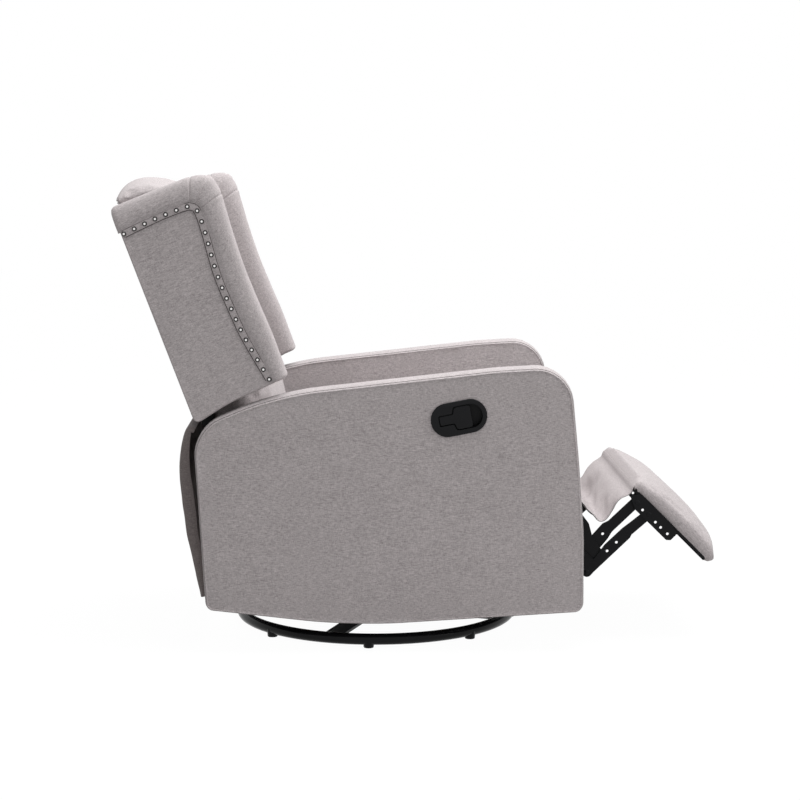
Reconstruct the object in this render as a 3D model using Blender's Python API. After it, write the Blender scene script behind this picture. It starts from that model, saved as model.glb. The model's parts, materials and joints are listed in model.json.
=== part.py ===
"""Swivel rocker recliner with a wing back, track arms, a linkage footrest and a floor ring.

Metres, +Z up. The chair faces +X and the sitter's left is +Y. Side outlines are drawn in the chair's
side plane, x from the swivel axis and z from the floor. ORIGIN_X then moves the whole chair, so that
the origin lies on the floor under the middle of its box.
"""

import math

import bmesh
import bpy
from mathutils import Matrix, Vector

# Clearances
FIT = 0.0003
RUN = 0.0004
PIN_FIT = 0.0003

# Overall
ORIGIN_X = -0.0812
WIDTH = 0.720
ARC_STEP = math.radians(20)

# Floor ring, cross and glides
RING_RADIUS = 0.3125
TUBE_RADIUS = 0.0125
GLIDE_HEIGHT = 0.006
GLIDE_RADIUS = 0.014
GLIDE_COUNT = 8
GLIDE_TURN = math.radians(-3.8)
CROSS_WIDTH = 0.044
CROSS_THICK = 0.006
CROSS_TURN = math.radians(-20)
HUB_RADIUS = 0.090
HUB_HEIGHT = 0.0097
RING_STEPS = 40
TUBE_SIDES = 8

# Swivel bearing and rocker cradle
RACE_RADIUS = 0.085
RACE_HEIGHT = 0.012
BOLT_RADIUS = 0.006
BOLT_HEAD_RADIUS = 0.011
BOLT_HEAD_HEIGHT = 0.007
CRADLE_WIDTH = 0.340
CRADLE_THICK = 0.006
CRADLE_CORNER = 0.040
ROCKER_BAR_RADIUS = 0.020
ROCKER_BAR_DROP = 0.012
STAND_WIDTH = 0.040
STAND_LENGTH = 0.050
STAND_Y = 0.120

# Rocker cams, spring rails and coil springs
CAM_THICK = 0.0251
CAM_LENGTH = 0.400
CRADLE_LENGTH = CAM_LENGTH
CAM_RADIUS = 0.800
CAM_HEIGHT = 0.171
SPRING_RAIL_X = 0.170
SPRING_RAIL_WIDTH = 0.040
SPRING_RAIL_HEIGHT = 0.032
SPRING_RAIL_LIFT = 0.010
COIL_RADIUS = 0.014
COIL_WIRE = 0.0025
COIL_TURNS = 5
COIL_POINTS = 8
COIL_Y = 0.145

# Side plates and tail rail
PLATE = 0.004
RUNNER_THICK = 0.0045
RUNNER_REAR = -0.220
RUNNER_FRONT = 0.240
EAR_RADIUS = 0.024
SIDE_PLATE_DROP = 0.075
TAIL_RAIL_WIDTH = 0.0315
TAIL_RAIL_LOW = 0.105
TAIL_RAIL_HIGH = 0.165

# Arms
ARM_THICK = 0.080
ARM_PANEL = 0.008
ARM_WRAP = 0.010
ARM_BAND_CROWN = 0.0045
ARM_RAIL = 0.030
ARM_CORNERS = (
    (0.4435, 0.0875, 0.018),
    (0.4425, 0.250, 0.6),
    (0.431, 0.410, 0.6),
    (0.4102, 0.6205, 0.078),
    (0.255, 0.612, 0.35),
    (-0.215, 0.561, 0.6),
    (-0.394, 0.487, 0.085),
    (-0.3705, 0.096, 0.015),
    (-0.055, 0.059, 1.2),
)

# Release handle in the right arm
HANDLE_X = 0.173
HANDLE_Z = 0.514
HANDLE_TILT = math.radians(11)
BEZEL_LENGTH = 0.122
BEZEL_WIDTH = 0.070
BEZEL_PROUD = 0.0032
BEZEL_LIP = 0.007
CUP_DEPTH = 0.026
CUP_WALL = 0.005
CUP_FLOOR = 0.008
PADDLE_THICK = 0.006
PADDLE_STEM_WIDTH = 0.018
PADDLE_WIDTH = 0.041
PADDLE_FRONT = 0.026
PADDLE_SHOULDER = -0.012
PADDLE_REAR = -0.0455
PADDLE_SINK = 0.001
HANDLE_PIN_RADIUS = 0.0018
HANDLE_PIN_INSET = 0.0055
CABLE_RADIUS = 0.0025
CABLE_HOLE_RADIUS = 0.004
CABLE_END_X = 0.150
CABLE_END_Z = 0.250

# Seat
SEAT_RAIL_WIDTH = 0.020
SEAT_RAIL_HEIGHT = 0.060
SEAT_RAIL_REAR = -0.120
SEAT_RAIL_FRONT = 0.3775
SEAT_CROSS_RAIL = 0.025
SEAT_WIRE = 0.002
SEAT_SPRING_COUNT = 4
SEAT_SPRING_WAVES = 9
SEAT_SPRING_SWING = 0.020
SEAT_SIDE_GAP = 0.005
SEAT_CROWN = 0.006
SEAT_HEIGHT = 0.130
SEAT_REAR = -0.122
SEAT_TONGUE = -0.200
SEAT_TONGUE_HEIGHT = 0.036
SEAT_FRONT = 0.426
SEAT_NOSE = 0.050

# Footrest linkage, in the side plane, with the footrest out
LINK = 0.003
LINK_ROOM = 0.0062
LINK_RADIUS = 0.011
PIN_RADIUS = 0.004
SEAT_PIVOT_MAIN = (0.3507, 0.3221)
SEAT_PIVOT_GUIDE = (0.3038, 0.3020)
KNEE_UPPER = (0.4655, 0.2093)
KNEE_LOWER = (0.4912, 0.1840)
TAIL_PIVOT = (0.4622, 0.1565)
PAD_PIVOT_UPPER = (0.5718, 0.3121)
PAD_PIVOT_LOWER = (0.5980, 0.2852)
UPPER_BAR_HOLES = (0.30,)
LOWER_BAR_HOLES = (0.19, 0.38)
SPARE_HOLE_RADIUS = 0.003

# Footrest pad, board and brackets
PAD_TOP = (0.565, 0.347)
PAD_TILT = math.radians(-45)
PAD_LENGTH = 0.233
PAD_THICK = 0.047
PAD_SIDE_GAP = 0.007
BOARD_THICK = 0.008
BOARD_INSET = 0.006
BRACKET_DEPTH = 0.034
BRACKET_LENGTH = 0.140
BRACKET_START = 0.004
BRACKET_HOLES = (0.090, 0.107, 0.123)
BRACKET_HOLE_DROP = 0.021

# Cloth between seat and footrest
BRIDGE_THICK = 0.003
BRIDGE_SIDE_GAP = 0.006
BRIDGE_ROUTE = (
    (0.415, 0.333),
    (0.452, 0.308),
    (0.480, 0.279),
    (0.498, 0.272),
    (0.521, 0.279),
    (0.543, 0.303),
    (0.557, 0.331),
)
BRIDGE_ROOT_Z = 0.338

# Back: hinge, tilt, and sizes in the back's own plane, forward and up from the hinge
BACK_X = -0.250
BACK_Z = 0.400
BACK_TILT = math.radians(20.5)
HINGE_PIN_RADIUS = 0.006
BRACKET_GAP = 0.0014
BACK_BRACKET_TOP = 0.200
BACK_BRACKET_KNEE = 0.080
BACK_BRACKET_HEEL = 0.030
WING_OUT = 0.015
WING_EDGE = 0.012
WING_CORNERS = (
    (-0.0915, 0.140, 0.015),
    (-0.015, 0.158, 0.3),
    (0.129, 0.1675, 0.018),
    (0.1185, 0.400, 0.6),
    (0.1325, 0.637, 0.045),
    (-0.0915, 0.6365, 0.014),
)
WING_SIDE_GAP = 0.0007
BACK_PANEL_THICK = 0.0077
BACK_PANEL_LOW = 0.139
BACK_FRAME_THICK = 0.0200
BACK_FRAME_LOW = 0.020
BACK_FRAME_STILE = 0.070
BACK_FRAME_RAIL = 0.080
CROWN_TOP = 0.690
CROWN_REAR = 0.010
CROWN_FALL = 0.75
CUSHION_HEAD = 0.062
CUSHION_LUMBAR = 0.108
CUSHION_LOW = 0.012
CUSHION_SIDE = 0.018

# Nail-head trim on the outer face of each wing
TRIM_WIDTH = 0.008
TRIM_THICK = 0.001
NAIL_RADIUS = 0.005
NAIL_HEIGHT = 0.003
NAIL_PITCH = 0.0242
NAIL_SIDES = 6
TRIM_CORNERS = (
    (-0.076, 0.568),
    (0.048, 0.580),
    (0.071, 0.562),
    (0.066, 0.450),
    (0.066, 0.330),
    (0.086, 0.190),
)

# Flap of cloth behind the arms, rear face from top to bottom
FLAP_THICK = 0.010
FLAP_SIDE_GAP = 0.030
FLAP_ROUTE = (
    (-0.406, 0.488),
    (-0.421, 0.476),
    (-0.431, 0.446),
    (-0.435, 0.391),
    (-0.433, 0.325),
    (-0.4195, 0.280),
    (-0.402, 0.191),
    (-0.3875, 0.118),
)

# Places worked out from the sizes above, heights first
RING_Z = GLIDE_HEIGHT + TUBE_RADIUS
CROSS_LOW = RING_Z - CROSS_THICK / 2
HUB_TOP = CROSS_LOW + HUB_HEIGHT
LOWER_RACE = HUB_TOP + FIT
UPPER_RACE = LOWER_RACE + RACE_HEIGHT + FIT
CRADLE_LOW = UPPER_RACE + RACE_HEIGHT + FIT
CRADLE_TOP = CRADLE_LOW + CRADLE_THICK
ROCKER_BAR_Z = CRADLE_TOP + ROCKER_BAR_DROP + ROCKER_BAR_RADIUS
ROCK_Z = ROCKER_BAR_Z + ROCKER_BAR_RADIUS + FIT
CAM_TOP = ROCK_Z + CAM_HEIGHT
RUNNER_LOW = CAM_TOP + FIT
RUNNER_TOP = RUNNER_LOW + RUNNER_THICK
SEAT_RAIL_LOW = RUNNER_TOP + FIT
SPRING_RAIL_LOW = ROCK_Z + SPRING_RAIL_LIFT
SEAT_RAIL_TOP = SEAT_RAIL_LOW + SEAT_RAIL_HEIGHT
SEAT_LOW = SEAT_RAIL_TOP + FIT + 2 * SEAT_WIRE + FIT

# Places across the chair, from the arms inwards
ARM_OUT = WIDTH / 2
ARM_IN = ARM_OUT - ARM_THICK
SIDE_PLATE_OUT = ARM_IN - FIT
SIDE_PLATE_IN = SIDE_PLATE_OUT - PLATE
CAM_OUT = SIDE_PLATE_IN - FIT
CAM_IN = CAM_OUT - CAM_THICK
BACK_BRACKET_OUT = SIDE_PLATE_IN - BRACKET_GAP
BACK_BRACKET_IN = BACK_BRACKET_OUT - PLATE
BACK_HALF = BACK_BRACKET_IN - FIT
WING_IN = BACK_BRACKET_OUT + WING_SIDE_GAP
WING_FACE = ARM_OUT - WING_OUT
LINK_LAYERS = 4
LINK_STACK = FIT + LINK_LAYERS * LINK + (LINK_LAYERS - 1) * RUN
SEAT_RAIL_OUT = SIDE_PLATE_IN - LINK_ROOM - LINK_STACK
SEAT_RAIL_IN = SEAT_RAIL_OUT - SEAT_RAIL_WIDTH
SEAT_HALF = ARM_IN - SEAT_SIDE_GAP
PAD_HALF = ARM_IN - PAD_SIDE_GAP
BRIDGE_HALF = SEAT_RAIL_OUT - BRIDGE_SIDE_GAP
FLAP_HALF = ARM_OUT - FLAP_SIDE_GAP


class Plane:
    """A plane across the chair: (a, b) run forward and up from its origin, turned by an angle."""

    def __init__(self, x, z, turn):
        self.x = x
        self.z = z
        self.cos = math.cos(turn)
        self.sin = math.sin(turn)

    def at(self, a, b):
        return self.x + a * self.cos - b * self.sin, self.z + a * self.sin + b * self.cos

    def of(self, x, z):
        dx = x - self.x
        dz = z - self.z
        return dx * self.cos + dz * self.sin, dz * self.cos - dx * self.sin


SIDE = Plane(0, 0, 0)
BACK = Plane(BACK_X, BACK_Z, BACK_TILT)
PAD = Plane(*PAD_TOP, PAD_TILT)
HANDLE = Plane(HANDLE_X, HANDLE_Z, HANDLE_TILT)
SIDES = (("left", 1), ("right", -1))

for old in list(bpy.data.objects):
    bpy.data.objects.remove(old)


# Materials


def finish(name, color, roughness, metallic=0.0):
    material = bpy.data.materials.new(name)
    material.use_nodes = True
    shader = material.node_tree.nodes["Principled BSDF"]
    shader.inputs["Base Color"].default_value = (*color, 1)
    shader.inputs["Roughness"].default_value = roughness
    shader.inputs["Metallic"].default_value = metallic
    return material


LINEN = finish("linen", (0.40, 0.36, 0.35), 0.95)
TIMBER = finish("timber", (0.42, 0.29, 0.17), 0.7)
BLACK_STEEL = finish("black_steel", (0.015, 0.015, 0.016), 0.4, 0.6)
BARE_STEEL = finish("bare_steel", (0.45, 0.45, 0.46), 0.35, 1.0)
NAIL_METAL = finish("nail_metal", (0.60, 0.60, 0.61), 0.25, 1.0)
BLACK_PLASTIC = finish("black_plastic", (0.018, 0.018, 0.019), 0.45)

# One empty for each body, on its joint's axis
PIVOTS = {
    "base": (0, 0, 0),
    "turntable": (0, 0, UPPER_RACE),
    "chassis": (0, 0, ROCK_Z),
    "backrest": (BACK_X, 0, BACK_Z),
    "seat": (0, 0, SEAT_RAIL_LOW),
    "handle": (
        HANDLE.at(PADDLE_REAR + HANDLE_PIN_INSET, 0)[0],
        -ARM_OUT,
        HANDLE.at(PADDLE_REAR + HANDLE_PIN_INSET, 0)[1],
    ),
    "main_link": (SEAT_PIVOT_MAIN[0], 0, SEAT_PIVOT_MAIN[1]),
    "guide_link": (SEAT_PIVOT_GUIDE[0], 0, SEAT_PIVOT_GUIDE[1]),
    "upper_bar": (KNEE_UPPER[0], 0, KNEE_UPPER[1]),
    "lower_bar": (KNEE_LOWER[0], 0, KNEE_LOWER[1]),
    "footrest": (PAD_PIVOT_LOWER[0], 0, PAD_PIVOT_LOWER[1]),
}
AXES = {}
for body, (x, y, z) in PIVOTS.items():
    axis = bpy.data.objects.new(body + "_axis", None)
    axis.location = (x + ORIGIN_X, y, z)
    bpy.context.scene.collection.objects.link(axis)
    AXES[body] = axis


def place(obj, body=None, material=None):
    """Puts an object drawn in the side plane where it belongs, on its body's empty."""
    bpy.context.scene.collection.objects.link(obj)
    obj.location = (ORIGIN_X, 0, 0)
    if body:
        obj.parent = AXES[body]
        obj.matrix_parent_inverse = Matrix.Translation(AXES[body].location).inverted()
    if material:
        obj.data.materials.append(material)
    return obj


def solid(name, bm, body=None, material=None):
    """A mesh object with its faces turned outwards and smooth round its curves."""
    bmesh.ops.recalc_face_normals(bm, faces=bm.faces)
    mesh = bpy.data.meshes.new(name)
    bm.to_mesh(mesh)
    bm.free()
    mesh.shade_smooth()
    mesh.set_sharp_from_angle(angle=math.radians(35))
    return place(bpy.data.objects.new(name, mesh), body, material)


def tool(obj):
    obj.hide_render = True
    obj.display_type = "WIRE"
    return obj


def combine(target, other, operation):
    modifier = target.modifiers.new(operation.lower(), "BOOLEAN")
    modifier.operation = operation
    modifier.solver = "EXACT"
    modifier.object = tool(other)
    return target


# Outlines


def fillet(corners):
    """A closed outline from (a, b, radius) corners, each rounded by an arc."""
    points = []
    for i, (a, b, radius) in enumerate(corners):
        here = Vector((a, b))
        to_last = (Vector(corners[i - 1][:2]) - here).normalized()
        to_next = (Vector(corners[(i + 1) % len(corners)][:2]) - here).normalized()
        half = to_last.angle(to_next) / 2
        turn = math.pi - 2 * half
        if radius == 0 or turn < 1e-4:
            points.append(here)
            continue
        start = here + to_last * radius / math.tan(half)
        centre = here + (to_last + to_next).normalized() * radius / math.sin(half)
        sign = 1 if to_last.x * to_next.y - to_last.y * to_next.x < 0 else -1
        steps = max(2, round(turn / ARC_STEP))
        for k in range(steps + 1):
            points.append(centre + Matrix.Rotation(sign * turn * k / steps, 2) @ (start - centre))
    return points


def grown(outline, by):
    """The outline moved outwards by a distance, which may be negative."""
    moved = []
    for i, here in enumerate(outline):
        before = (here - outline[i - 1]).normalized()
        after = (outline[(i + 1) % len(outline)] - here).normalized()
        n1 = Vector((before.y, -before.x))
        n2 = Vector((after.y, -after.x))
        moved.append(here + by * (n1 + n2) / (1 + n1.dot(n2)))
    return moved


def grown_corners(corners, by, radius):
    """Sharp corners moved outwards by a distance, then rounded alike."""
    sharp = grown([Vector(c[:2]) for c in corners], by)
    return fillet([(p.x, p.y, radius) for p in sharp])


def ribbon(route, thick):
    """The outline of a sheet that lies on the right of its route."""
    inner = []
    for i, here in enumerate(route):
        before = Vector(route[max(i - 1, 0)])
        after = Vector(route[min(i + 1, len(route) - 1)])
        along = (after - before).normalized()
        inner.append(Vector(here) + thick * Vector((along.y, -along.x)))
    return [Vector(p) for p in route] + inner[::-1]


def stadium(start, end, radius):
    """A bar with round ends about two points."""
    start = Vector(start)
    end = Vector(end)
    along = (end - start).normalized()
    steps = 6
    points = []
    for centre, first in ((end, -math.pi / 2), (start, math.pi / 2)):
        for k in range(steps + 1):
            points.append(centre + radius * (Matrix.Rotation(first + math.pi * k / steps, 2) @ along))
    return points


# Solids


def loft(outline, stations, plane=SIDE):
    """A closed mesh of rings across the chair: each station is (y, how far the outline grows)."""
    bm = bmesh.new()
    rings = []
    for y, by in stations:
        ring = []
        for p in grown(outline, by) if by else outline:
            x, z = plane.at(p[0], p[1])
            ring.append(bm.verts.new((x, y, z)))
        rings.append(ring)
    count = len(outline)
    for low, high in zip(rings, rings[1:]):
        for i in range(count):
            j = (i + 1) % count
            bm.faces.new((low[i], low[j], high[j], high[i]))
    bm.faces.new(rings[0])
    bm.faces.new(rings[-1][::-1])
    return bm


def plate(outline, y0, y1, plane=SIDE):
    return loft(outline, ((y0, 0), (y1, 0)), plane)


def block(x0, x1, y0, y1, z0, z1):
    corners = [Vector(p) for p in ((x0, z0), (x1, z0), (x1, z1), (x0, z1))]
    return plate(corners, y0, y1)


def disc(radius, sides):
    angles = [k * math.tau / sides for k in range(sides)]
    return [radius * Vector((math.cos(a), math.sin(a))) for a in angles]


def pin(centre, radius, y0, y1, sides=10):
    return plate([p + Vector(centre) for p in disc(radius, sides)], y0, y1)


def upright(outline, z0, z1):
    """An outline seen from above, raised from one height to another."""
    bm = bmesh.new()
    rings = [[bm.verts.new((p[0], p[1], z)) for p in outline] for z in (z0, z1)]
    for i in range(len(outline)):
        j = (i + 1) % len(outline)
        bm.faces.new((rings[0][i], rings[0][j], rings[1][j], rings[1][i]))
    bm.faces.new(rings[0])
    bm.faces.new(rings[1][::-1])
    return bm


def turned(profile, steps):
    """A ring turned about the swivel axis from a closed (radius, z) profile."""
    bm = bmesh.new()
    rings = []
    for k in range(steps):
        angle = k * math.tau / steps
        rings.append([bm.verts.new((r * math.cos(angle), r * math.sin(angle), z)) for r, z in profile])
    count = len(profile)
    for k, ring in enumerate(rings):
        following = rings[(k + 1) % steps]
        for i in range(count):
            j = (i + 1) % count
            bm.faces.new((ring[i], ring[j], following[j], following[i]))
    return bm


def rod(name, points, radius, body, material, sides_level):
    """A round wire along points, with closed ends."""
    curve = bpy.data.curves.new(name, "CURVE")
    curve.dimensions = "3D"
    curve.bevel_depth = radius
    curve.bevel_resolution = sides_level
    curve.use_fill_caps = True
    spline = curve.splines.new("POLY")
    spline.points.add(len(points) - 1)
    for point, place_at in zip(spline.points, points):
        point.co = (*place_at, 1)
    return place(bpy.data.objects.new(name, curve), body, material)


def cut_pin_hole(target, centre, radius, y0, y1):
    name = target.name + "_hole"
    combine(target, solid(name, pin(centre, radius + PIN_FIT, y0, y1)), "DIFFERENCE")


def add_pin(target, centre, radius, y0, y1):
    combine(target, solid(target.name + "_pin", pin(centre, radius, y0, y1)), "UNION")


# Floor ring with its glides, and the cross


def floor_ring():
    profile = [(RING_RADIUS + p.x, RING_Z + p.y) for p in disc(TUBE_RADIUS, TUBE_SIDES)]
    ring = solid("floor_ring", turned(profile, RING_STEPS), "base", BLACK_STEEL)
    glides = bmesh.new()
    for k in range(GLIDE_COUNT):
        angle = GLIDE_TURN - math.pi / 2 + k * math.tau / GLIDE_COUNT
        spot = Matrix.Translation(
            (RING_RADIUS * math.cos(angle), RING_RADIUS * math.sin(angle), RING_Z / 2)
        )
        bmesh.ops.create_cone(
            glides,
            cap_ends=True,
            segments=12,
            radius1=GLIDE_RADIUS,
            radius2=GLIDE_RADIUS,
            depth=RING_Z,
            matrix=spot,
        )
    combine(ring, solid("glides", glides), "UNION")


def base_cross():
    hub = solid("base_cross", upright(disc(HUB_RADIUS, 32), CROSS_LOW, HUB_TOP), "base", BLACK_STEEL)
    half_width = CROSS_WIDTH / 2
    inside = (RING_RADIUS - TUBE_RADIUS) * math.cos(math.pi / RING_STEPS) - FIT
    reach = math.sqrt(inside * inside - half_width * half_width)
    for k in range(2):
        turn = Matrix.Rotation(CROSS_TURN + k * math.pi / 2, 2)
        corners = ((-reach, -half_width), (reach, -half_width), (reach, half_width), (-reach, half_width))
        bar = upright([turn @ Vector(p) for p in corners], CROSS_LOW, CROSS_LOW + CROSS_THICK)
        combine(hub, solid("cross_bar", bar), "UNION")
    drill = upright(disc(BOLT_RADIUS + PIN_FIT, 16), CROSS_LOW - CROSS_THICK, HUB_TOP + CROSS_THICK)
    combine(hub, solid("cross_drill", drill), "DIFFERENCE")


# Swivel bearing, king bolt and cradle


def race(name, low, body):
    inner = BOLT_RADIUS + PIN_FIT
    high = low + RACE_HEIGHT
    profile = ((inner, low), (RACE_RADIUS, low), (RACE_RADIUS, high), (inner, high))
    solid(name, turned(profile, 32), body, BARE_STEEL)


def king_bolt():
    head_low = CRADLE_TOP + FIT
    bolt = upright(disc(BOLT_HEAD_RADIUS, 6), head_low, head_low + BOLT_HEAD_HEIGHT)
    head = solid("king_bolt", bolt, "turntable", BARE_STEEL)
    shank = upright(disc(BOLT_RADIUS, 16), CROSS_LOW, head_low + BOLT_HEAD_HEIGHT / 2)
    combine(head, solid("bolt_shank", shank), "UNION")


def rocker_cradle():
    half_x = CRADLE_LENGTH / 2
    half_y = CRADLE_WIDTH / 2
    corner = CRADLE_CORNER
    outline = fillet(
        (
            (-half_x, -half_y, corner),
            (half_x, -half_y, corner),
            (half_x, half_y, corner),
            (-half_x, half_y, corner),
        )
    )
    cradle = solid("rocker_cradle", upright(outline, CRADLE_LOW, CRADLE_TOP), "turntable", BLACK_STEEL)
    for _, side in SIDES:
        y0 = side * (STAND_Y - STAND_WIDTH / 2)
        y1 = side * (STAND_Y + STAND_WIDTH / 2)
        stand = block(
            -STAND_LENGTH / 2, STAND_LENGTH / 2, y0, y1, CRADLE_LOW + CRADLE_THICK / 2, ROCKER_BAR_Z
        )
        combine(cradle, solid("rocker_stand", stand), "UNION")
    bar = pin((0, ROCKER_BAR_Z), ROCKER_BAR_RADIUS, -CAM_OUT, CAM_OUT, 24)
    combine(cradle, solid("rocker_bar", bar), "UNION")
    drill = upright(disc(BOLT_RADIUS + PIN_FIT, 16), CRADLE_LOW - CRADLE_THICK, CRADLE_TOP + CRADLE_THICK / 2)
    combine(cradle, solid("cradle_drill", drill), "DIFFERENCE")


def rocker_springs():
    low = CRADLE_TOP + FIT + COIL_WIRE
    high = SPRING_RAIL_LOW - FIT - COIL_WIRE
    count = COIL_TURNS * COIL_POINTS
    for end, x in (("front", SPRING_RAIL_X), ("rear", -SPRING_RAIL_X)):
        for name, side in SIDES:
            points = []
            for k in range(count + 1):
                angle = k * math.tau / COIL_POINTS
                z = low + (high - low) * k / count
                y = side * COIL_Y + COIL_RADIUS * math.sin(angle)
                points.append((x + COIL_RADIUS * math.cos(angle), y, z))
            rod(f"rocker_spring_{end}_{name}", points, COIL_WIRE, "turntable", BARE_STEEL, 1)
    pitch = (high - low) / COIL_TURNS
    print(f"rocker springs: least gap between turns {1000 * (pitch - 2 * COIL_WIRE):.1f} mm")


# Chassis: cams, side plates, rails


def rocker_cams():
    half = CAM_LENGTH / 2
    bottom = []
    steps = 12
    for k in range(steps + 1):
        x = -half + CAM_LENGTH * k / steps
        bottom.append(Vector((x, ROCK_Z + CAM_RADIUS - math.sqrt(CAM_RADIUS**2 - x * x))))
    outline = bottom + [Vector((half, CAM_TOP)), Vector((-half, CAM_TOP))]
    for name, side in SIDES:
        solid(f"rocker_cam_{name}", plate(outline, side * CAM_IN, side * CAM_OUT), "chassis", TIMBER)


def spring_rails():
    for end, x in (("front", SPRING_RAIL_X), ("rear", -SPRING_RAIL_X)):
        half = SPRING_RAIL_WIDTH / 2
        reach = CAM_IN - FIT
        top = SPRING_RAIL_LOW + SPRING_RAIL_HEIGHT
        rail = block(x - half, x + half, -reach, reach, SPRING_RAIL_LOW, top)
        solid(f"{end}_spring_rail", rail, "chassis", TIMBER)


def side_plates():
    top = RUNNER_TOP - FIT
    low = top - SIDE_PLATE_DROP
    outline = fillet(
        (
            (BACK_X - EAR_RADIUS, BACK_Z + EAR_RADIUS, EAR_RADIUS * 0.9),
            (BACK_X - EAR_RADIUS, top, 0.030),
            (RUNNER_REAR, low, 0.020),
            (RUNNER_FRONT, low, 0.020),
            (RUNNER_FRONT, top, 0.003),
            (BACK_X + 2.5 * EAR_RADIUS, top, 0.030),
            (BACK_X + EAR_RADIUS, BACK_Z + EAR_RADIUS, EAR_RADIUS * 0.9),
        )
    )
    for name, side in SIDES:
        sheet = plate(outline, side * SIDE_PLATE_IN, side * SIDE_PLATE_OUT)
        ear = solid(f"side_plate_{name}", sheet, "chassis", BLACK_STEEL)
        inner = side * SEAT_RAIL_IN
        outer = side * (SIDE_PLATE_IN + PLATE / 2)
        runner = block(RUNNER_REAR, RUNNER_FRONT - FIT, inner, outer, RUNNER_LOW, RUNNER_TOP)
        combine(ear, solid("runner", runner), "UNION")
        hole = (side * (SIDE_PLATE_IN - PLATE), side * (SIDE_PLATE_OUT + PLATE))
        cut_pin_hole(ear, (BACK_X, BACK_Z), HINGE_PIN_RADIUS, *hole)


def tail_rail():
    rear = ribbon(FLAP_ROUTE[::-1], FLAP_THICK)[-1].x + FIT
    reach = ARM_IN - FIT
    rail = block(rear, rear + TAIL_RAIL_WIDTH, -reach, reach, TAIL_RAIL_LOW, TAIL_RAIL_HIGH)
    solid("tail_rail", rail, "chassis", TIMBER)


# Arms


def arms():
    outline = fillet(ARM_CORNERS)
    panel_in = ARM_OUT - ARM_PANEL
    seam = panel_in - FIT
    floor = ARM_IN + ARM_WRAP
    wrap_stations = (
        (ARM_IN, -0.004),
        (ARM_IN + 0.003, -0.0005),
        (ARM_IN + (seam - ARM_IN) * 0.25, ARM_BAND_CROWN * 0.8),
        (ARM_IN + (seam - ARM_IN) * 0.55, ARM_BAND_CROWN),
        (ARM_IN + (seam - ARM_IN) * 0.85, ARM_BAND_CROWN * 0.7),
        (seam, 0),
        (seam, -ARM_WRAP),
        (floor, -ARM_WRAP),
    )
    panel_stations = (
        (panel_in, 0),
        (ARM_OUT - 0.003, -0.0005),
        (ARM_OUT - 0.0008, -0.0035),
        (ARM_OUT, -0.010),
    )
    frame_inset = ARM_WRAP + FIT
    window = grown_corners(ARM_CORNERS, -frame_inset - ARM_RAIL, 0.015)
    for name, side in SIDES:
        wrap = loft(outline, [(side * y, by) for y, by in wrap_stations])
        cover = solid(f"arm_wrap_{name}", wrap, "chassis", LINEN)
        panel = loft(outline, [(side * y, by) for y, by in panel_stations])
        outer = solid(f"arm_outside_{name}", panel, "chassis", LINEN)
        frame_in = side * (floor + FIT)
        frame_out = side * (seam - FIT)
        timber = plate(grown(outline, -frame_inset), frame_in, frame_out)
        frame = solid(f"arm_frame_{name}", timber, "chassis", TIMBER)
        opening = plate(window, side * (floor - ARM_WRAP), side * (seam + ARM_WRAP))
        combine(frame, solid("arm_window", opening), "DIFFERENCE")
        if side < 0:
            hole = grown(bezel_outline(), FIT - BEZEL_LIP)
            slot = plate(hole, -ARM_OUT - ARM_PANEL, -panel_in + ARM_PANEL, HANDLE)
            combine(outer, solid("handle_slot", slot), "DIFFERENCE")
            cable_hole = (CABLE_END_X, CABLE_END_Z)
            cut_pin_hole(cover, cable_hole, CABLE_HOLE_RADIUS, -floor - ARM_WRAP, -ARM_IN + ARM_WRAP)


# Release handle


def bezel_outline():
    half = (BEZEL_LENGTH - BEZEL_WIDTH) / 2
    return stadium((-half, 0), (half, 0), BEZEL_WIDTH / 2)


def handle_pin_place():
    """Where the paddle turns: along the bezel, and its depth across the chair."""
    return PADDLE_REAR + HANDLE_PIN_INSET, paddle_face() + PADDLE_THICK / 2


def paddle_face():
    return -ARM_OUT - BEZEL_PROUD + PADDLE_SINK


def handle_pin(radius, half_length):
    """A rod across the bezel, square to its length, where the paddle turns."""
    along, y = handle_pin_place()
    bm = bmesh.new()
    rings = []
    for b in (-half_length, half_length):
        ring = []
        for p in disc(radius, 10):
            x, z = HANDLE.at(along + p.x, b)
            ring.append(bm.verts.new((x, y + p.y, z)))
        rings.append(ring)
    for i in range(10):
        j = (i + 1) % 10
        bm.faces.new((rings[0][i], rings[0][j], rings[1][j], rings[1][i]))
    bm.faces.new(rings[0])
    bm.faces.new(rings[1][::-1])
    return bm


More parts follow.
